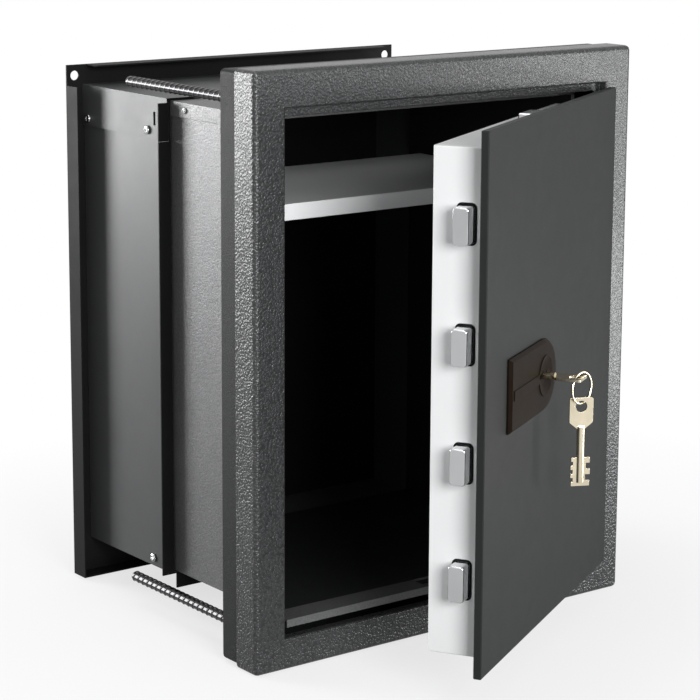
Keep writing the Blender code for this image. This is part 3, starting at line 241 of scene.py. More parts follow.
class Nodes:
    """Short ways to add and join shader nodes."""

    def __init__(self, tree: bpy.types.NodeTree) -> None:
        """Keep the tree that nodes are added to."""
        self.tree = tree

    def add(self, kind: str, inputs: dict[str | int, object] | None = None,
            **settings: object) -> bpy.types.Node:
        """Add a node, set its properties, then feed its inputs.

        Args:
            kind: the node's type name.
            inputs: what goes into which input.
            **settings: properties of the node.

        Returns:
            The node.
        """
        node = self.tree.nodes.new(kind)
        for key, value in settings.items():
            setattr(node, key, value)
        self.feed(node, inputs or {})
        return node

    def feed(self, node: bpy.types.Node, inputs: dict[str | int, object]) -> None:
        """Join sockets to a node's inputs, and set plain numbers and colours.

        Args:
            node: the node.
            inputs: what goes into which input.
        """
        for key, value in inputs.items():
            target = node.inputs[key]
            if isinstance(value, bpy.types.NodeSocket):
                self.tree.links.new(value, target)
            else:
                target.default_value = (*value, 1.0) if target.type == "RGBA" else value

    def place(self) -> bpy.types.NodeSocket:
        """The object's own coordinates."""
        return self.add("ShaderNodeTexCoord").outputs["Object"]

    def noise(self, vector: bpy.types.NodeSocket, scale: float, detail: float,
              roughness: float) -> bpy.types.NodeSocket:
        """Noise's factor at a scale per metre."""
        return self.add("ShaderNodeTexNoise", {"Vector": vector, "Scale": scale, "Detail": detail,
                                               "Roughness": roughness}).outputs["Fac"]

    def cells(self, vector: bpy.types.NodeSocket, scale: float) -> bpy.types.NodeSocket:
        """Distance to the middle of soft cells at a scale per metre."""
        return self.add("ShaderNodeTexVoronoi", {"Vector": vector, "Scale": scale,
                                                 "Smoothness": 1.0},
                        feature="SMOOTH_F1").outputs["Distance"]

    def maths(self, operation: str, first: object, second: object) -> bpy.types.NodeSocket:
        """One sum on sockets or plain numbers."""
        return self.add("ShaderNodeMath", {0: first, 1: second}, operation=operation).outputs[0]

    def spread(self, value: bpy.types.NodeSocket, span: tuple[float, float], to_low: object,
               to_high: object) -> bpy.types.NodeSocket:
        """Carry a value from one range to another, clamped."""
        return self.add("ShaderNodeMapRange", {"Value": value, "From Min": span[0],
                                               "From Max": span[1], "To Min": to_low,
                                               "To Max": to_high}).outputs["Result"]

    def blend(self, share: object, first: object, second: object,
              mode: str = "MIX") -> bpy.types.NodeSocket:
        """Mix two colours, each a socket or a plain colour."""
        return self.add("ShaderNodeMix", {0: share, 6: first, 7: second}, data_type="RGBA",
                        blend_type=mode).outputs[2]

    def mix(self, share: object, first: object, second: object) -> bpy.types.NodeSocket:
        """Mix two shaders by the share of the second."""
        return self.add("ShaderNodeMixShader", {0: share, 1: first, 2: second}).outputs[0]

    def glow(self, kind: str, strength: float) -> bpy.types.NodeSocket:
        """White light from an emission or background node."""
        return self.add(kind, {"Color": WHITE, "Strength": strength}).outputs[0]

    def bump(self, height: bpy.types.NodeSocket, depth: float) -> bpy.types.NodeSocket:
        """Normal of a height scaled to a depth in metres."""
        return self.add("ShaderNodeBump", {"Strength": 1.0, "Distance": depth,
                                           "Height": height}).outputs["Normal"]


@dataclass(frozen=True)
class Relief:
    """Recipe of a film's relief: noise or soft cells, with a smaller noise on it.

    Scales are per metre. The hollow range is where the broad pattern counts as a hollow, and the
    dome range is where a cell falls from its crown to its rim.
    """

    scale: float
    detail: float = 3.0
    roughness: float = 0.6
    small_scale: float = 0.0
    small_detail: float = 2.0
    small_roughness: float = 0.6
    small_share: float = 0.0
    hollow: tuple[float, float] = (0.3, 0.7)
    dome: tuple[float, float] | None = None


class Grain(Enum):
    """Kinds of surface relief a paint can have."""

    HAMMERED = Relief(540.0, small_scale=850.0, small_detail=3.0, small_roughness=0.5,
                      small_share=0.5, hollow=(0.34, 0.66), dome=(0.10, 0.62))
    PEEL = Relief(620.0, small_scale=1900.0, small_share=0.45, hollow=(0.38, 0.56))
    FINE = Relief(1500.0, roughness=0.65, small_scale=3400.0, small_share=0.6,
                  hollow=(0.36, 0.60))
    SMOOTH = Relief(130.0, detail=2.0, roughness=0.5)


@dataclass(frozen=True)
class Library:
    """Node groups that several finishes share, each built once. Scales are per metre."""

    patch_scale: float = 9.0
    patch_detail: float = 4.0
    patch_share: float = 0.65
    speck_scale: float = 75.0
    speck_detail: float = 3.0
    roughness: float = 0.6
    level_range: tuple[float, float] = (0.34, 0.66)
    line_scale: float = 2600.0
    line_detail: float = 3.0
    line_roughness: float = 0.7
    line_stretch: float = 0.04
    line_range: tuple[float, float] = (0.35, 0.65)

    @staticmethod
    def start(name: str, inputs: dict[str, str],
              outputs: dict[str, str]) -> tuple[Nodes, bpy.types.Node, bpy.types.Node]:
        """Make an empty group.

        Args:
            name: the group's name.
            inputs: inputs and their socket types.
            outputs: outputs and their socket types.

        Returns:
            The group's helper, its input node and its output node.
        """
        tree = bpy.data.node_groups.new(name, "ShaderNodeTree")
        for way, sockets in (("INPUT", inputs), ("OUTPUT", outputs)):
            for label, kind in sockets.items():
                tree.interface.new_socket(label, in_out=way, socket_type=kind)
        nodes = Nodes(tree)
        return nodes, nodes.add("NodeGroupInput"), nodes.add("NodeGroupOutput")

    @cache
    def relief(self, grain: Grain) -> bpy.types.NodeTree:
        """Paint relief: a height, and a mask of its hollows, from the object's own coordinates.

        Args:
            grain: which kind of relief.

        Returns:
            The node group.
        """
        nodes, _, leave = self.start(f"{grain.name.lower()}_relief", {},
                                     {"Height": NUMBER, "Hollow": NUMBER})
        recipe, place = grain.value, nodes.place()
        if recipe.dome:
            cells = nodes.cells(place, recipe.scale)
            height = nodes.spread(cells, recipe.dome, 1.0, 0.0)
            hollow = nodes.spread(cells, recipe.hollow, 0.0, 1.0)
        else:
            height = nodes.noise(place, recipe.scale, recipe.detail, recipe.roughness)
            hollow = nodes.spread(height, recipe.hollow, 1.0, 0.0)
        if recipe.small_share:
            small = nodes.noise(place, recipe.small_scale, recipe.small_detail,
                                recipe.small_roughness)
            height = nodes.maths("ADD", height, nodes.maths("MULTIPLY", small, recipe.small_share))
        nodes.feed(leave, {"Height": height, "Hollow": hollow})
        return nodes.tree

    @cache
    def wear(self) -> bpy.types.NodeTree:
        """Dust and handling: slow patches that vary a colour and a roughness.

        Returns:
            The node group, with Colour and Rough outputs.
        """
        nodes, enter, leave = self.start(
            "handling", {"Amount": NUMBER, "Rough low": NUMBER, "Rough high": NUMBER,
                         "Base": COLOUR}, {"Colour": COLOUR, "Rough": NUMBER})
        place, given = nodes.place(), enter.outputs
        patch = nodes.noise(place, self.patch_scale, self.patch_detail, self.roughness)
        specks = nodes.noise(place, self.speck_scale, self.speck_detail, self.roughness)
        both = nodes.maths("ADD", nodes.maths("MULTIPLY", patch, self.patch_share),
                           nodes.maths("MULTIPLY", specks, 1.0 - self.patch_share))
        level = nodes.spread(both, self.level_range, -0.5, 0.5)
        gain = nodes.maths("ADD", nodes.maths("MULTIPLY", level, given["Amount"]), 1.0)
        bright = nodes.add("ShaderNodeVectorMath", {0: given["Base"], "Scale": gain},
                           operation="SCALE")
        rough = nodes.spread(both, self.level_range, given["Rough low"], given["Rough high"])
        nodes.feed(leave, {"Colour": bright.outputs[0], "Rough": rough})
        return nodes.tree

    @cache
    def brushed(self) -> bpy.types.NodeTree:
        """Fine polishing lines along Z, as a height and a roughness mask.

        Returns:
            The node group.
        """
        nodes, _, leave = self.start("polish_lines", {}, {"Height": NUMBER, "Lines": NUMBER})
        stretch = nodes.add("ShaderNodeMapping", {"Scale": (1.0, 1.0, self.line_stretch),
                                                  "Vector": nodes.place()})
        lines = nodes.noise(stretch.outputs["Vector"], self.line_scale, self.line_detail,
                            self.line_roughness)
        nodes.feed(leave, {"Height": lines, "Lines": nodes.spread(lines, self.line_range,
                                                                  0.0, 1.0)})
        return nodes.tree


LIBRARY = Library()


# Finishes


@dataclass(frozen=True)
class Paint:
    """Painted sheet: base colour, gloss and the relief of its film, its depth in metres."""

    name: str
    colour: Colour
    rough: tuple[float, float]
    grain: Grain
    depth: float
    variation: float = 0.10
    hollow_shade: float = 0.80
    metallic: float = 0.0
    coat: float = 0.0
    coat_rough: float = 0.2
    specular: float = 0.5

    def make(self) -> bpy.types.Material:
        """Build the material."""
        material, nodes, shader, worn = start_finish(self)
        relief = nodes.add("ShaderNodeGroup", node_tree=LIBRARY.relief(self.grain)).outputs
        # The relief's hollows are darkened in the base colour: painted shade in the hollows.
        painted_hollow_shade = nodes.blend(relief["Hollow"], WHITE, (self.hollow_shade,) * 3)
        nodes.feed(shader, {"Base Color": nodes.blend(1.0, worn["Colour"], painted_hollow_shade, "MULTIPLY"),
                            "Roughness": worn["Rough"], "Metallic": self.metallic,
                            "Coat Weight": self.coat, "Coat Roughness": self.coat_rough,
                            "Specular IOR Level": self.specular,
                            "Normal": nodes.bump(relief["Height"], self.depth)})
        return material


@dataclass(frozen=True)
class Metal:
    """Bare or plated metal: colour, gloss and polishing lines, their depth in metres."""

    name: str
    colour: Colour
    rough: tuple[float, float]
    lines: float
    variation: float = 0.08
    coat: float = 0.0
    line_rough: float = 0.06

    def make(self) -> bpy.types.Material:
        """Build the material."""
        material, nodes, shader, worn = start_finish(self)
        lines = nodes.add("ShaderNodeGroup", node_tree=LIBRARY.brushed()).outputs
        rough = nodes.maths("ADD", worn["Rough"],
                            nodes.maths("MULTIPLY", lines["Lines"], self.line_rough))
        nodes.feed(shader, {"Base Color": worn["Colour"], "Roughness": rough, "Metallic": 1.0,
                            "Coat Weight": self.coat,
                            "Normal": nodes.bump(lines["Height"], self.lines)})
        return material


def start_material(name: str) -> tuple[bpy.types.Material, Nodes, bpy.types.Node]:
    """Make a node material.

    Args:
        name: the finish's name.

    Returns:
        The material, its node helper and its shader.
    """
    material = bpy.data.materials.new(name)
    material.use_nodes = True
    return material, Nodes(material.node_tree), material.node_tree.nodes["Principled BSDF"]


def start_finish(finish: Paint | Metal) -> tuple[bpy.types.Material, Nodes, bpy.types.Node,
                                                 bpy.types.NodeOutputs]:
    """Make a material with the shared handling marks in it.

    Args:
        finish: the paint or metal.

    Returns:
        The material, its node helper, its shader and the marked colour and roughness.
    """
    material, nodes, shader = start_material(finish.name)
    wear = nodes.add("ShaderNodeGroup", {"Amount": finish.variation, "Rough low": finish.rough[0],
                                         "Rough high": finish.rough[1], "Base": finish.colour},
                     node_tree=LIBRARY.wear())
    return material, nodes, shader, wear.outputs


@dataclass
class Finishes:
    """Every finish of the safe, by the record's slot names."""

    paints: tuple[Paint, ...] = (
        Paint("hammered_grey_paint", (0.056, 0.0575, 0.059), (0.26, 0.34), Grain.HAMMERED,
              0.36 * MM, hollow_shade=0.60, metallic=0.40, coat=0.25, coat_rough=0.22),
        Paint("light_grey_texture_paint", (0.158, 0.160, 0.162), (0.32, 0.40), Grain.PEEL,
              0.26 * MM, hollow_shade=0.75, metallic=0.35, coat=0.10, coat_rough=0.3),
        Paint("smooth_grey_paint", (0.076, 0.078, 0.080), (0.36, 0.44), Grain.SMOOTH,
              0.04 * MM, variation=0.08, hollow_shade=0.96, metallic=0.20, coat=0.05,
              coat_rough=0.3, specular=0.4),
        Paint("black_paint", (0.009, 0.0092, 0.0095), (0.48, 0.58), Grain.SMOOTH, 0.03 * MM,
              variation=0.20, hollow_shade=0.95, coat_rough=0.25, specular=0.10),
        Paint("dark_grey_paint", (0.0195, 0.0205, 0.0208), (0.42, 0.50), Grain.FINE,
              0.18 * MM, variation=0.08, hollow_shade=0.82, metallic=0.05, specular=0.16),
        Paint("white_powder_coat", (0.80, 0.81, 0.815), (0.32, 0.40), Grain.PEEL,
              0.04 * MM, variation=0.02, hollow_shade=0.99),
        Paint("dark_bronze", (0.0125, 0.0080, 0.0050), (0.32, 0.40), Grain.FINE,
              0.08 * MM, variation=0.25, specular=0.03),
    )
    metals: tuple[Metal, ...] = (
        Metal("polished_chrome", (0.74, 0.75, 0.76), (0.05, 0.10), 0.002 * MM),
        Metal("pale_brass", (0.88, 0.79, 0.60), (0.14, 0.22), 0.003 * MM, variation=0.10),
        Metal("plain_steel", (0.40, 0.41, 0.42), (0.28, 0.40), 0.01 * MM, variation=0.15),
        Metal("zinc_plate", (0.62, 0.63, 0.63), (0.16, 0.26), 0.003 * MM, variation=0.15),
        Metal("blackened_steel", (0.035, 0.035, 0.037), (0.20, 0.30), 0.005 * MM,
              variation=0.20, coat=0.4),
    )
    made: dict[str, bpy.types.Material] = field(default_factory=dict)
    slots: dict[str, str] = field(default_factory=dict)

    def build(self, frame: dict) -> None:
        """Make every material once and give each node of the frame its slot's finish.
        """
        for finish in (*self.paints, *self.metals):
            self.made[finish.name] = finish.make()
        self.slots = {part["node"]: part["material_slot"] for part in frame["record"]["subparts"]}
        for name, node in frame["nodes"].items():
            self.put(node, self.slots[name])
            LOG.info("%s has %s", name, self.slots[name])

    def put(self, piece: bpy.types.Object, slot: str) -> None:
        """Give an object one finish."""
        piece.data.materials.clear()
        piece.data.materials.append(self.made[slot])

    def fit(self, piece: bpy.types.Object, body: Body, slot: str, node: str = "") -> None:
        """Finish a new piece, fix it to its body and let it stand for a node.

        Args:
            piece: the new piece.
            body: the body that carries it.
            slot: the record's material slot.
            node: the node it replaces, if any.
        """
        self.put(piece, slot)
        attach(piece, body.value)
        if node:
            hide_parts(node)
        LOG.info("%s rides on %s", piece.name, body.value)


# Fine pieces


@dataclass(frozen=True)
class SoftEdges:
    """Edges of one node: how wide they are rounded, and the plane x where they stay sharp.

    Triangles closer than merge are joined, faces flatter than flat become one, and edges that
    turn by more than fold are rounded.
    """

    node: str
    body: Body
    width: float
    steps: int = 2
    sharp_x: float | None = None
    merge: float = 0.002 * MM
    near: float = 0.1 * MM
    flat: float = math.radians(1.0)
    fold: float = math.radians(28.0)

    def rounded(self, ending: str) -> bpy.types.Object:
        """Copy the node, join its flat faces and round its edges.

        Args:
            ending: what the copy's name adds to the node's.

        Returns:
            The copy, at the origin with its place in its mesh.
        """
        node, name = bpy.data.objects[self.node], f"{self.node}_{ending}"
        work = bmesh.new()
        work.from_mesh(node.data)
        work.transform(node.matrix_world)
        bmesh.ops.remove_doubles(work, verts=work.verts, dist=self.merge)
        bmesh.ops.dissolve_limit(work, angle_limit=self.flat, verts=work.verts, edges=work.edges)
        if self.sharp_x is not None:
            self.mark(work)
        data = bpy.data.meshes.new(name)
        work.to_mesh(data)
        work.free()
        piece = add_object(name, data)
        self.bevel(piece)
        return piece

    def mark(self, work: bmesh.types.BMesh) -> None:
        """Weight the folds and cuts that may be rounded.

        An edge that ends on the plane keeps its corner: the hinge slots leave only a
        sliver of sheet there, and a rounded edge would close them.

        Args:
            work: the mesh being edited.
        """
        work.normal_update()
        weight = work.edges.layers.float.new("bevel_weight_edge")
        for side in work.edges:
            clear = all(abs(end.co.x - self.sharp_x) > self.near for end in side.verts)
            side[weight] = float(clear and side.calc_face_angle(0.0) > self.fold)

    def bevel(self, piece: bpy.types.Object) -> None:
        """Bevel the folds and cuts, even out the large faces' normals and bake the result."""
        bevel = piece.modifiers.new("soft_edges", "BEVEL")
        bevel.width = self.width
        bevel.segments = self.steps
        bevel.limit_method = "ANGLE" if self.sharp_x is None else "WEIGHT"
        bevel.angle_limit = self.fold
        bevel.use_clamp_overlap = True
        even = piece.modifiers.new("even_faces", "WEIGHTED_NORMAL")
        even.mode = "FACE_AREA"
        even.weight = 100
        even.keep_sharp = True
        piece.data.shade_smooth()
        graph = bpy.context.evaluated_depsgraph_get()
        data = bpy.data.meshes.new_from_object(piece.evaluated_get(graph))
        piece.modifiers.clear()
        old, piece.data = piece.data, data
        bpy.data.meshes.remove(old)
        data.name = piece.name


@dataclass
class FoldedSheets:
    """Sheet-metal parts whose cut and folded edges are slightly round."""

    edges: tuple[SoftEdges, ...] = (
        SoftEdges("front_frame", Body.FRAME, 0.9 * MM, sharp_x=181.5 * MM),
        SoftEdges("frame_rear_section", Body.FRAME, 0.5 * MM),
        SoftEdges("body_shell", Body.FRAME, 0.5 * MM),
        SoftEdges("body_top", Body.FRAME, 0.5 * MM),
        SoftEdges("shelf", Body.FRAME, 0.8 * MM),
        SoftEdges("shelf_rail_left", Body.FRAME, 0.4 * MM),
        SoftEdges("shelf_rail_right", Body.FRAME, 0.4 * MM),
        SoftEdges("hinge_bracket_bottom", Body.FRAME, 0.3 * MM),
        SoftEdges("hinge_bracket_top", Body.FRAME, 0.3 * MM),
        SoftEdges("sleeve_shell", Body.SLEEVE, 0.4 * MM),
        SoftEdges("sleeve_top", Body.SLEEVE, 0.4 * MM),
        SoftEdges("rear_plate", Body.SLEEVE, 0.5 * MM),
        SoftEdges("door_plate", Body.DOOR, 0.8 * MM),
        SoftEdges("door_housing", Body.DOOR, 0.5 * MM),
        SoftEdges("door_back_cover", Body.DOOR, 0.5 * MM),
        SoftEdges("lock_case", Body.DOOR, 0.4 * MM),
        SoftEdges("hinge_arm_bottom", Body.DOOR, 0.4 * MM),
        SoftEdges("hinge_arm_top", Body.DOOR, 0.4 * MM),
        SoftEdges("bolt_carrier", Body.BOLTS, 0.3 * MM),
    )
    flange_back: float = 187.2 * MM
    box_middle: Point = (0.0, 150.0 * MM, 255.0 * MM)
    box_half: float = 167.6 * MM
    box_front: float = 34.0 * MM

    def build(self, finishes: Finishes) -> None:
        """Stand a rounded copy in for each node, with its second paint where it has one: black
        paint on the sleeve's flange as painted shade, dark grey paint on the body's inner walls.

        Args:
            finishes: the safe's materials.
        """
        for edge in self.edges:
            piece = edge.rounded("folded")
            finishes.fit(piece, edge.body, finishes.slots[edge.node], edge.node)
            if edge.node.startswith("sleeve"):
                # The flange's faces, in front of its back, get black paint: painted shade where
                # the flange is unlit.
                second, flange_shade_and_inner_faces = "black_paint", self.faces(piece)[0][:, 1] < self.flange_back
            elif edge.node.startswith("body"):
                second, flange_shade_and_inner_faces = "dark_grey_paint", self.inside(piece)
            else:
                continue
            piece.data.materials.append(finishes.made[second])
            piece.data.polygons.foreach_set("material_index", flange_shade_and_inner_faces.astype(np.int32))

    @staticmethod
    def faces(piece: bpy.types.Object) -> tuple[np.ndarray, np.ndarray]:
        """Middles, from the datum, and normals of a piece's faces."""
        polygons = piece.data.polygons
        middles, normals = (np.empty(len(polygons) * 3, np.float32) for _ in range(2))
        polygons.foreach_get("center", middles)
        polygons.foreach_get("normal", normals)
        return middles.reshape(-1, 3) - DATUM.shift(), normals.reshape(-1, 3)

    def inside(self, piece: bpy.types.Object) -> np.ndarray:
        """Which faces look towards the middle of the box from its inner walls."""
        places, normals = self.faces(piece)
        inward = np.einsum("ij,ij->i", normals, np.array(self.box_middle) - places) > 0
        return (inward & (np.abs(places[:, 0]) < self.box_half)
                & (places[:, 1] > self.box_front))


@dataclass
class AnchorBars:
    """Ribbed bars that tie the frame to the masonry, and the nuts that hold them."""

    core: float = 4.45 * MM
    radius: float = 5.0 * MM
    pitch: float = 7.6 * MM
    rib_width: float = 2.9 * MM
    slant: float = 0.9
    fade_gain: float = 1.6
    seam_width: float = 0.22
    seam_height: float = 0.6
    end_taper: float = 1.2 * MM
    end_drop: float = 0.7 * MM
    start: float = 38.7 * MM
    end: float = 227.7 * MM
    across: float = 186.5 * MM
    levels: tuple[float, float] = (27.0 * MM, 486.0 * MM)
    sides: int = 32
    steps_per_pitch: int = 14
    nut_flats: float = 8.0 * MM
    nut_bore: float = 5.35 * MM
    nut_front: float = 41.7 * MM
    nut_back: float = 49.7 * MM
    nut_chamfer: float = 0.9 * MM
    nut_corner: float = 1.02
    nut_sides: int = 48

    def build(self, finishes: Finishes) -> None:
        """Make each bar: the radius swells in crescent ribs that slant and fade at two seams.

        Radius = core + rise * bump(distance to the nearest slanted rib line) * fade, where the
        rib line advances with the cosine of the turn and fade falls to nothing at both side
        seams, and a low straight seam runs along each side.

        Args:
            finishes: the safe's materials.
        """
        steps = int((self.end - self.start) / self.pitch * self.steps_per_pitch)
        along = np.linspace(self.start, self.end, steps)
        turn = Shape.circle(self.sides)
        slant = self.slant * self.pitch * np.cos(turn)[None, :] * np.sign(np.sin(turn))[None, :]
        phase = (along[:, None] + slant / 2) / self.pitch
        near = np.abs(phase - np.round(phase)) * self.pitch
        bump = np.clip(1.0 - (near / (self.rib_width / 2)) ** 2, 0.0, 1.0)
        off_seam = np.abs(np.sin(turn))[None, :]
        fade = np.clip(off_seam * self.fade_gain, 0.0, 1.0)
        seam = np.clip(1.0 - off_seam / self.seam_width, 0.0, 1.0) * self.seam_height
        ends = np.clip(np.minimum(along - self.start, self.end - along) / self.end_taper,
                       0.0, 1.0)[:, None]
        radius = (self.core - self.end_drop * (1 - ends) ** 2
                  + (self.radius - self.core) * np.maximum(bump * fade, seam) * ends)
        x, z = radius * np.cos(turn)[None, :], radius * np.sin(turn)[None, :]
        y = np.broadcast_to(along[:, None], x.shape)
        for name, side, level in (("bottom_left", -1, 0), ("bottom_right", 1, 0),
                                  ("top_left", -1, 1), ("top_right", 1, 1)):
            points = np.stack([x + side * self.across, y, z + self.levels[level]], axis=-1)
            bar = Shape.mesh(f"ribbed_bar_{name}", DATUM.fixed(points.reshape(-1, 3)),
                             Shape.capped(steps, self.sides), angle=50.0)
            finishes.fit(bar, Body.FRAME, "blackened_steel", f"anchor_rod_{name}")
            self.build_nut(name, side * self.across, self.levels[level], finishes)

    def build_nut(self, name: str, x: float, z: float, finishes: Finishes) -> None:
        """Hexagon nut whose corners are cut back by a cone at both faces.

        The outline's reach at each turn is the hexagon's, and at both ends it is held below the
        chamfer circle; the bore is a plain circle, so rows run outside, across, inside and back.

        Args:
            name: the corner's name.
            x: place across.
            z: level.
            finishes: the safe's materials.
        """
        turn = Shape.circle(self.nut_sides)
        hexagon = self.nut_flats / np.cos(np.mod(turn, math.pi / 3) - math.pi / 6)
        chamfer = np.minimum(hexagon, self.nut_flats * self.nut_corner)
        bore = np.full(self.nut_sides, self.nut_bore)
        front, back = self.nut_front, self.nut_back
        rows = ((front, bore), (front, chamfer), (front + self.nut_chamfer, hexagon),
                (back - self.nut_chamfer, hexagon), (back, chamfer), (back, bore))
        points = np.stack([np.column_stack([x + reach * np.cos(turn), np.full(len(turn), y),
                                            z + reach * np.sin(turn)]) for y, reach in rows])
        nut = Shape.mesh(f"chamfered_nut_{name}", DATUM.fixed(points.reshape(-1, 3)),
                         Shape.grid_faces(len(rows), self.nut_sides, wrap_rows=True), angle=25.0)
        finishes.fit(nut, Body.FRAME, "zinc_plate", f"rod_nut_{name}")


@dataclass
class PanScrews:
    """Cross-recessed pan screws that join the folded sheets.

    Widths and reaches are shares of the head's radius, heights are shares of the head's height.
    """

    sides: int = 48
    rings: int = 18
    most_rise: float = 2.2 * MM
    rim: float = 0.42
    dome_power: float = 2.6
    recess_width: float = 0.24
    recess_reach: float = 0.62
    recess_fade: float = 0.16
    recess_depth: float = 0.45
    shank: float = 0.45
    most_shank: float = 1.85 * MM

    def build(self, frame: dict, finishes: Finishes) -> None:
        """Stand one fine screw in the box of each screw node.

        Args:
            finishes: the safe's materials.
        """
        for name in sorted(frame["nodes"]):
            if "_screw_" not in name:
                continue
            low, high = (np.array(corner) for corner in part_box(name))
            side = 1.0 if (low[0] + high[0]) > 0 else -1.0
            points = self.points(low, high, side)
            screw = Shape.mesh(f"{name}_cross_head", points, self.faces(), angle=38.0)
            body = Body.FRAME if name.startswith("body") else Body.SLEEVE
            finishes.fit(screw, body, "zinc_plate", name)

    def points(self, low: np.ndarray, high: np.ndarray, side: float) -> np.ndarray:
        """Head and shank turned about X, with a cross sunk in the crown.

        The crown's height is that of a flattened dome; a cross of two soft bars is taken off it
        near the middle; the rim drops to the sheet and a plain shank runs in to the node's end.

        Args:
            low: the node's lowest corner.
            high: the node's highest corner.
            side: which way the head points.

        Returns:
            The crown's middle, then one row of points for each ring.
        """
        middle = (low + high) / 2
        head = (high[2] - low[2]) / 2
        length = high[0] - low[0]
        rise = min(self.most_rise, length / 2)
        turn = Shape.circle(self.sides)
        share = np.linspace(0.0, 1.0, self.rings + 1)[1:, None]
        dome = np.sqrt(np.clip(1.0 - share ** self.dome_power, 0.0, 1.0))
        u, v = share * head * np.cos(turn), share * head * np.sin(turn)
        bars = np.minimum(np.abs(u), np.abs(v)) / head
        cut = (np.clip(1.0 - bars / self.recess_width, 0.0, 1.0) ** 0.5
               * np.clip((self.recess_reach - np.hypot(u, v) / head) / self.recess_fade, 0.0, 1.0))
        crown = rise * (self.rim + (1.0 - self.rim) * dome) - rise * self.recess_depth * cut
        height = np.vstack([crown, np.zeros((2, self.sides)),
                            np.full((1, self.sides), rise - length)])
        shank = min(head * self.shank, self.most_shank)
        u = np.vstack([u, u[-1:], np.tile(shank * np.cos(turn), (2, 1))])
        v = np.vstack([v, v[-1:], np.tile(shank * np.sin(turn), (2, 1))])
        base = high[0] - rise if side > 0 else low[0] + rise
        grid = np.stack([base + side * height, middle[1] + u, middle[2] + v], axis=-1)
        top = [base + side * rise * (1 - self.recess_depth), middle[1], middle[2]]
        return np.vstack([[top], grid.reshape(-1, 3)])

    def faces(self) -> list[list[int]]:
        """Triangles round the crown's middle, quads between rings and the shank's end."""
        rows = self.rings + 3
        faces = [[0, 1 + k, 1 + (k + 1) % self.sides] for k in range(self.sides)]
        faces += (Shape.grid_faces(rows, self.sides) + 1).tolist()
        return faces + [list(range(1 + (rows - 1) * self.sides, 1 + rows * self.sides))]


@dataclass
class Bolts:
    """Bright locking bolts with rounded edges and corners, and black rings of painted shade round
    their holes.
    """

    side_x: tuple[float, float] = (-172.5 * MM, -126.5 * MM)
    side_y: tuple[float, float] = (17.0 * MM, 30.5 * MM)
    height: float = 30.5 * MM
    corner: float = 2.6 * MM
    corner_steps: int = 7
    nose: float = 1.1 * MM
    nose_steps: int = 6
    # Black ring of painted shade round each bolt's hole: its gap, width, stand and seat.
    hole_shade_gap: float = 0.45 * MM
    hole_shade_width: float = 1.5 * MM
    hole_shade_stand: float = 0.25 * MM
    hole_shade_seat: float = 0.1 * MM
    housing_x: float = -157.0 * MM
    upright: tuple[SoftEdges, ...] = (SoftEdges("top_bolt", Body.UPPER, 0.6 * MM, 3),
                                      SoftEdges("bottom_bolt", Body.LOWER, 0.6 * MM, 3))

    def build(self, finishes: Finishes) -> None:
        """Make the four side bolts with the black rings of painted shade round their holes, and
        round the two upright bolts.

        Args:
            finishes: the safe's materials.
        """
        for count in range(1, 5):
            name = f"locking_bolt_{count}"
            finishes.fit(self.side_bolt(name), Body.BOLTS, "polished_chrome", name)
            # A black ring round each bolt's hole stands for the shade in the gap: painted shade.
            finishes.fit(self.hole_shade(name), Body.DOOR, "black_paint")
        for edge in self.upright:
            finishes.fit(edge.rounded("polished"), edge.body, "polished_chrome", edge.node)

    def side_bolt(self, name: str) -> bpy.types.Object:
        """Rounded rectangle carried along the throw; the nose row is drawn in by its radius.

        Each row is the rectangle with round corners at one distance along the bolt. At the nose
        the inset follows a quarter circle, so the front face ends in a bright round edge.

        Args:
            name: the bolt's node.

        Returns:
            The bolt.
        """
        quarter = np.linspace(math.pi / 2, 0, self.nose_steps)
        steps = [(self.side_x[0] + self.nose * (1 - math.sin(a)), self.nose * (1 - math.cos(a)))
                 for a in quarter]
        steps.append((self.side_x[1], 0.0))
        rows = [self.row(name, x, -inset, self.corner - inset / 2) for x, inset in steps]
        return Shape.mesh(f"{name}_polished", DATUM.door(np.vstack(rows)),
                          Shape.capped(len(rows), len(rows[0])), angle=38.0)

    def hole_shade(self, name: str) -> bpy.types.Object:
        """Black ring round a bolt's hole, painted shade of the gap between bolt and hole: a flat
        ring between two rounded rectangles.

        Rows run inside front, outside front, outside back and inside back, so it is closed.

        Args:
            name: the bolt's node.

        Returns:
            The black ring of painted shade.
        """
        face, back = self.housing_x - self.hole_shade_stand, self.housing_x + self.hole_shade_seat
        near, far = self.hole_shade_gap, self.hole_shade_gap + self.hole_shade_width
        rows = [self.row(name, x, grow, self.corner + grow)
                for x, grow in ((face, near), (face, far), (back, far), (back, near))]
        return Shape.mesh(f"{name}_guide", DATUM.door(np.vstack(rows)),
                          Shape.grid_faces(len(rows), len(rows[0]), wrap_rows=True), angle=30.0)

    def row(self, name: str, x: float, grow: float, radius: float) -> np.ndarray:
        """The bolt's section at x, grown all round, its corners quarter circles of a radius.

        Args:
            name: the bolt's node.
            x: place along the throw.
            grow: how far the section grows.
            radius: the corners' radius.

        Returns:
            Rows of x, y, z on the closed door.
        """
        low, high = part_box(name)
        level = (low[2] + high[2]) / 2 - DATUM.shift()[2]
        reach = grow - radius
        low_y, high_y = self.side_y[0] - reach, self.side_y[1] + reach
        low_z, high_z = level - self.height / 2 - reach, level + self.height / 2 + reach
        quarter = np.linspace(0, math.pi / 2, self.corner_steps)
        corners = ((high_y, high_z), (low_y, high_z), (low_y, low_z), (high_y, low_z))
        section = np.vstack([
            np.column_stack([y + radius * np.cos(quarter + count * math.pi / 2),
                             z + radius * np.sin(quarter + count * math.pi / 2)])
            for count, (y, z) in enumerate(corners)])
        return np.column_stack([np.full(len(section), x), section])


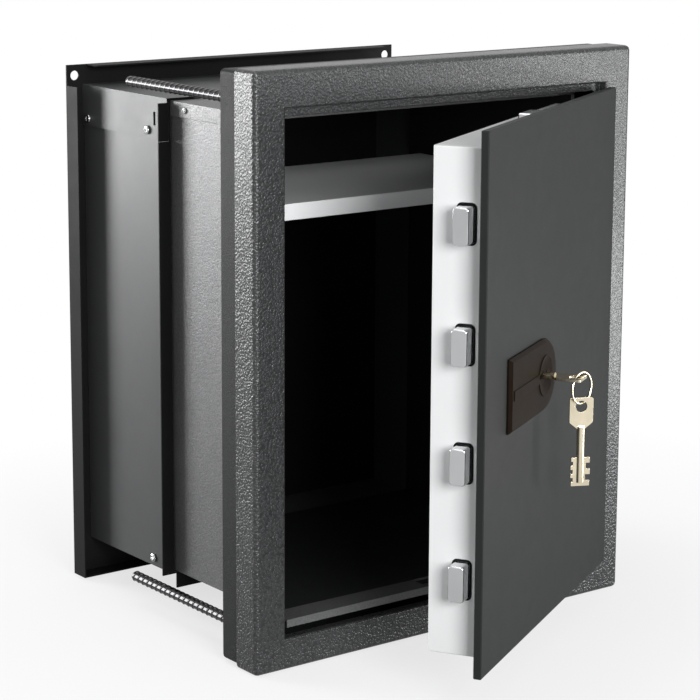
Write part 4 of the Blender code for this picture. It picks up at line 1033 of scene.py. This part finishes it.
@dataclass
class KeySet:
    """Split ring, the key in the lock and the spare key that hangs from the ring."""

    ring_radius: float = 13.4 * MM
    wire: float = 1.0 * MM
    turn: float = math.radians(11.0)
    groove_depth: float = 0.22
    groove_width: float = 0.28
    steps: int = 96
    sides: int = 28
    keys: tuple[SoftEdges, ...] = (SoftEdges("key", Body.KEY, 0.28 * MM),
                                   SoftEdges("spare_key", Body.SPARE, 0.28 * MM))

    def build(self, finishes: Finishes) -> None:
        """Make the ring and round both keys.

        Args:
            finishes: the safe's materials.
        """
        finishes.fit(self.ring(), Body.RING, "pale_brass", "key_ring")
        for key in self.keys:
            finishes.fit(key.rounded("cut"), key.body, "pale_brass", key.node)

    def ring(self) -> bpy.types.Object:
        """Ring of two flat coils side by side: a circle whose section is two small round wires.

        The section round the middle line is a circle with a groove along its outer and inner
        face, so that the ring reads as two turns of wire lying together.

        Returns:
            The ring.
        """
        low, high = (np.array(corner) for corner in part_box("key_ring"))
        around, section = Shape.circle(self.steps), Shape.circle(self.sides)
        from_groove = np.abs(section - math.pi * np.round(section / math.pi))
        groove = 1.0 - self.groove_depth * np.exp(-(from_groove / self.groove_width) ** 2)
        out = self.ring_radius + self.wire * groove * np.cos(section)
        beside = self.wire * np.sin(section)
        along = np.array([math.cos(self.turn), math.sin(self.turn), 0.0])
        normal = np.array([-math.sin(self.turn), math.cos(self.turn), 0.0])
        spoke = np.cos(around)[:, None] * along + np.sin(around)[:, None] * np.array([0, 0, 1.0])
        points = ((low + high) / 2 + spoke[:, None] * out[None, :, None]
                  + beside[None, :, None] * normal)
        return Shape.mesh("split_ring", points.reshape(-1, 3),
                          Shape.grid_faces(self.steps, self.sides, wrap_rows=True), angle=180.0)


@dataclass
class LockCover:
    """Cast plate round the keyhole."""

    edge: SoftEdges = SoftEdges("escutcheon", Body.DOOR, 0.25 * MM)

    def build(self, finishes: Finishes) -> None:
        """Round the plate's edges.

        Args:
            finishes: the safe's materials.
        """
        finishes.fit(self.edge.rounded("cast"), self.edge.body, "dark_bronze", self.edge.node)


# Floor, light and camera


@dataclass(frozen=True)
class Lamp:
    """Square soft lamp: where it stands, where it points, its side in metres and its watts."""

    name: str
    place: Point
    aim: Point
    size: float
    power: float

    def build(self) -> None:
        """Stand the lamp in the scene, out of the camera's sight."""
        data = bpy.data.lights.new(self.name, "AREA")
        data.size = self.size
        data.energy = self.power
        lamp = add_object(self.name, data)
        lamp.location = self.place
        ahead = Vector(self.aim) - Vector(self.place)
        lamp.rotation_euler = ahead.to_track_quat("-Z", "Y").to_euler()
        lamp.visible_camera = False


@dataclass
class Studio:
    """White backdrop, soft lamps and the camera that saw the safe.

    Gloss values are the shares of white that reflections see. The lens is in pixels of the
    photograph's width.
    """

    ground: float = -20.0 * MM
    floor_drop: float = 0.4 * MM
    floor_radius: float = 8.0
    floor_sides: int = 96
    floor_roughness: float = 0.95
    floor_colour: Colour = (0.86, 0.86, 0.87)
    floor_bounce: Colour = (0.20, 0.20, 0.20)
    shadow_share: float = 0.30
    shadow_range: tuple[float, float] = (0.25, 0.75)
    floor_gloss: float = 0.52
    world_gloss: float = 0.66
    ambient: float = 0.26
    azimuth: float = math.radians(-37.17)
    elevation: float = math.radians(10.81)
    roll: float = math.radians(0.29)
    camera_place: Point = (-1.2998, -1.6193, 0.6883)
    lens_pixels: float = 2367.8
    photo_width: float = 700.0
    sensor_width: float = 36.0
    lens_shift: float = -0.10
    clip_end: float = 30.0
    lamps: tuple[Lamp, ...] = (
        Lamp("left_lamp", (-1.50, 2.20, 0.60), (-0.2, 0.0, 0.25), 1.1, 58.0),
        Lamp("front_lamp", (-0.7, -2.6, 0.95), (0.0, 0.0, 0.25), 1.2, 76.0),
        Lamp("near_lamp", (-2.3, -1.2, 1.1), (0.0, 0.0, 0.30), 1.2, 5.0),
        Lamp("right_lamp", (2.05, -2.0, 0.30), (0.2, 0.0, 0.10), 0.6, 15.0),
        Lamp("low_lamp", (0.68, -0.58, 0.06), (0.2, -0.05, 0.10), 0.3, 3.4),
        Lamp("top_lamp", (-0.3, 0.2, 2.6), (0.0, 0.1, 0.3), 1.2, 12.0),
    )

    def build(self) -> None:
        """Make floor, world, lamps and camera."""
        self.build_floor()
        self.build_world()
        for lamp in self.lamps:
            lamp.build()
        self.build_camera()

    def build_floor(self) -> None:
        """White floor that keeps a soft shadow near the safe and fades to plain white.

        The share of the floor's own shading falls from its value near the safe to nothing with
        the distance from the middle; the rest shows white to the camera and in reflections.
        """
        turn = Shape.circle(self.floor_sides)
        points = np.column_stack([self.floor_radius * np.cos(turn),
                                  self.floor_radius * np.sin(turn),
                                  np.full(self.floor_sides, self.ground - self.floor_drop)])
        floor = Shape.sheet("studio_floor", points, [list(range(self.floor_sides))])
        material, nodes, shader = start_material("studio_floor")
        seen = nodes.blend(nodes.add("ShaderNodeLightPath").outputs["Is Camera Ray"],
                           self.floor_bounce, self.floor_colour)
        nodes.feed(shader, {"Base Color": seen, "Roughness": self.floor_roughness,
                            "Specular IOR Level": 0.0})
        far = nodes.add("ShaderNodeVectorMath", {0: nodes.place()}, operation="LENGTH")
        keep = nodes.spread(far.outputs["Value"], self.shadow_range, self.shadow_share, 0.0)
        share = nodes.maths("MULTIPLY", self.shown(nodes, self.floor_gloss),
                            nodes.maths("SUBTRACT", 1.0, keep))
        white = nodes.glow("ShaderNodeEmission", 1.0)
        nodes.feed(material.node_tree.nodes["Material Output"],
                   {"Surface": nodes.mix(share, shader.outputs[0], white)})
        floor.data.materials.append(material)

    def build_world(self) -> None:
        """White to the camera and in reflections, plainer as a light."""
        world = bpy.data.worlds.new("studio")
        bpy.context.scene.world = world
        world.use_nodes = True
        nodes = Nodes(world.node_tree)
        world.node_tree.nodes.clear()
        light, show = (nodes.glow("ShaderNodeBackground", strength)
                       for strength in (self.ambient, 1.0))
        share = self.shown(nodes, self.world_gloss)
        nodes.add("ShaderNodeOutputWorld", {"Surface": nodes.mix(share, light, show)})

    @staticmethod
    def shown(nodes: Nodes, gloss: float) -> bpy.types.NodeSocket:
        """Share of plain white that a ray sees: all for the camera, less in reflections.

        Args:
            nodes: the tree's helper.
            gloss: the share in reflections.

        Returns:
            The share's socket.
        """
        path = nodes.add("ShaderNodeLightPath").outputs
        glossy = nodes.maths("MULTIPLY", path["Is Glossy Ray"], gloss)
        return nodes.maths("MAXIMUM", nodes.maths("MAXIMUM", path["Is Camera Ray"], glossy),
                           path["Is Transmission Ray"])

    def build_camera(self) -> None:
        """Camera solved from the safe's edges.

        It looks along Y when level, so it is raised from straight down by a right angle less its
        elevation, then turned by its azimuth, with the roll about its own axis first.
        """
        data = bpy.data.cameras.new("camera")
        data.sensor_width = self.sensor_width
        data.lens = self.lens_pixels / self.photo_width * self.sensor_width
        data.shift_y = self.lens_shift
        data.clip_end = self.clip_end
        camera = add_object("camera", data)
        camera.matrix_world = (Matrix.Translation(self.camera_place)
                               @ Matrix.Rotation(self.azimuth, 4, "Z")
                               @ Matrix.Rotation(math.pi / 2 - self.elevation, 4, "X")
                               @ Matrix.Rotation(self.roll, 4, "Z"))
        bpy.context.scene.camera = camera


def set_view() -> None:
    """Plain view transform."""
    bpy.context.scene.view_settings.view_transform = "Standard"


def main() -> None:
    """Load the frame, dress it, and set the studio round it."""
    logging.basicConfig(level=logging.INFO, format="%(name)s: %(message)s")
    for old in list(bpy.data.objects):
        bpy.data.objects.remove(old, do_unlink=True)
    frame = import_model()
    set_view()
    Studio().build()
    finishes = Finishes()
    finishes.build(frame)
    FoldedSheets().build(finishes)
    AnchorBars().build(finishes)
    PanScrews().build(frame, finishes)
    Bolts().build(finishes)
    KeySet().build(finishes)
    LockCover().build(finishes)


if __name__ == "__main__":
    main()
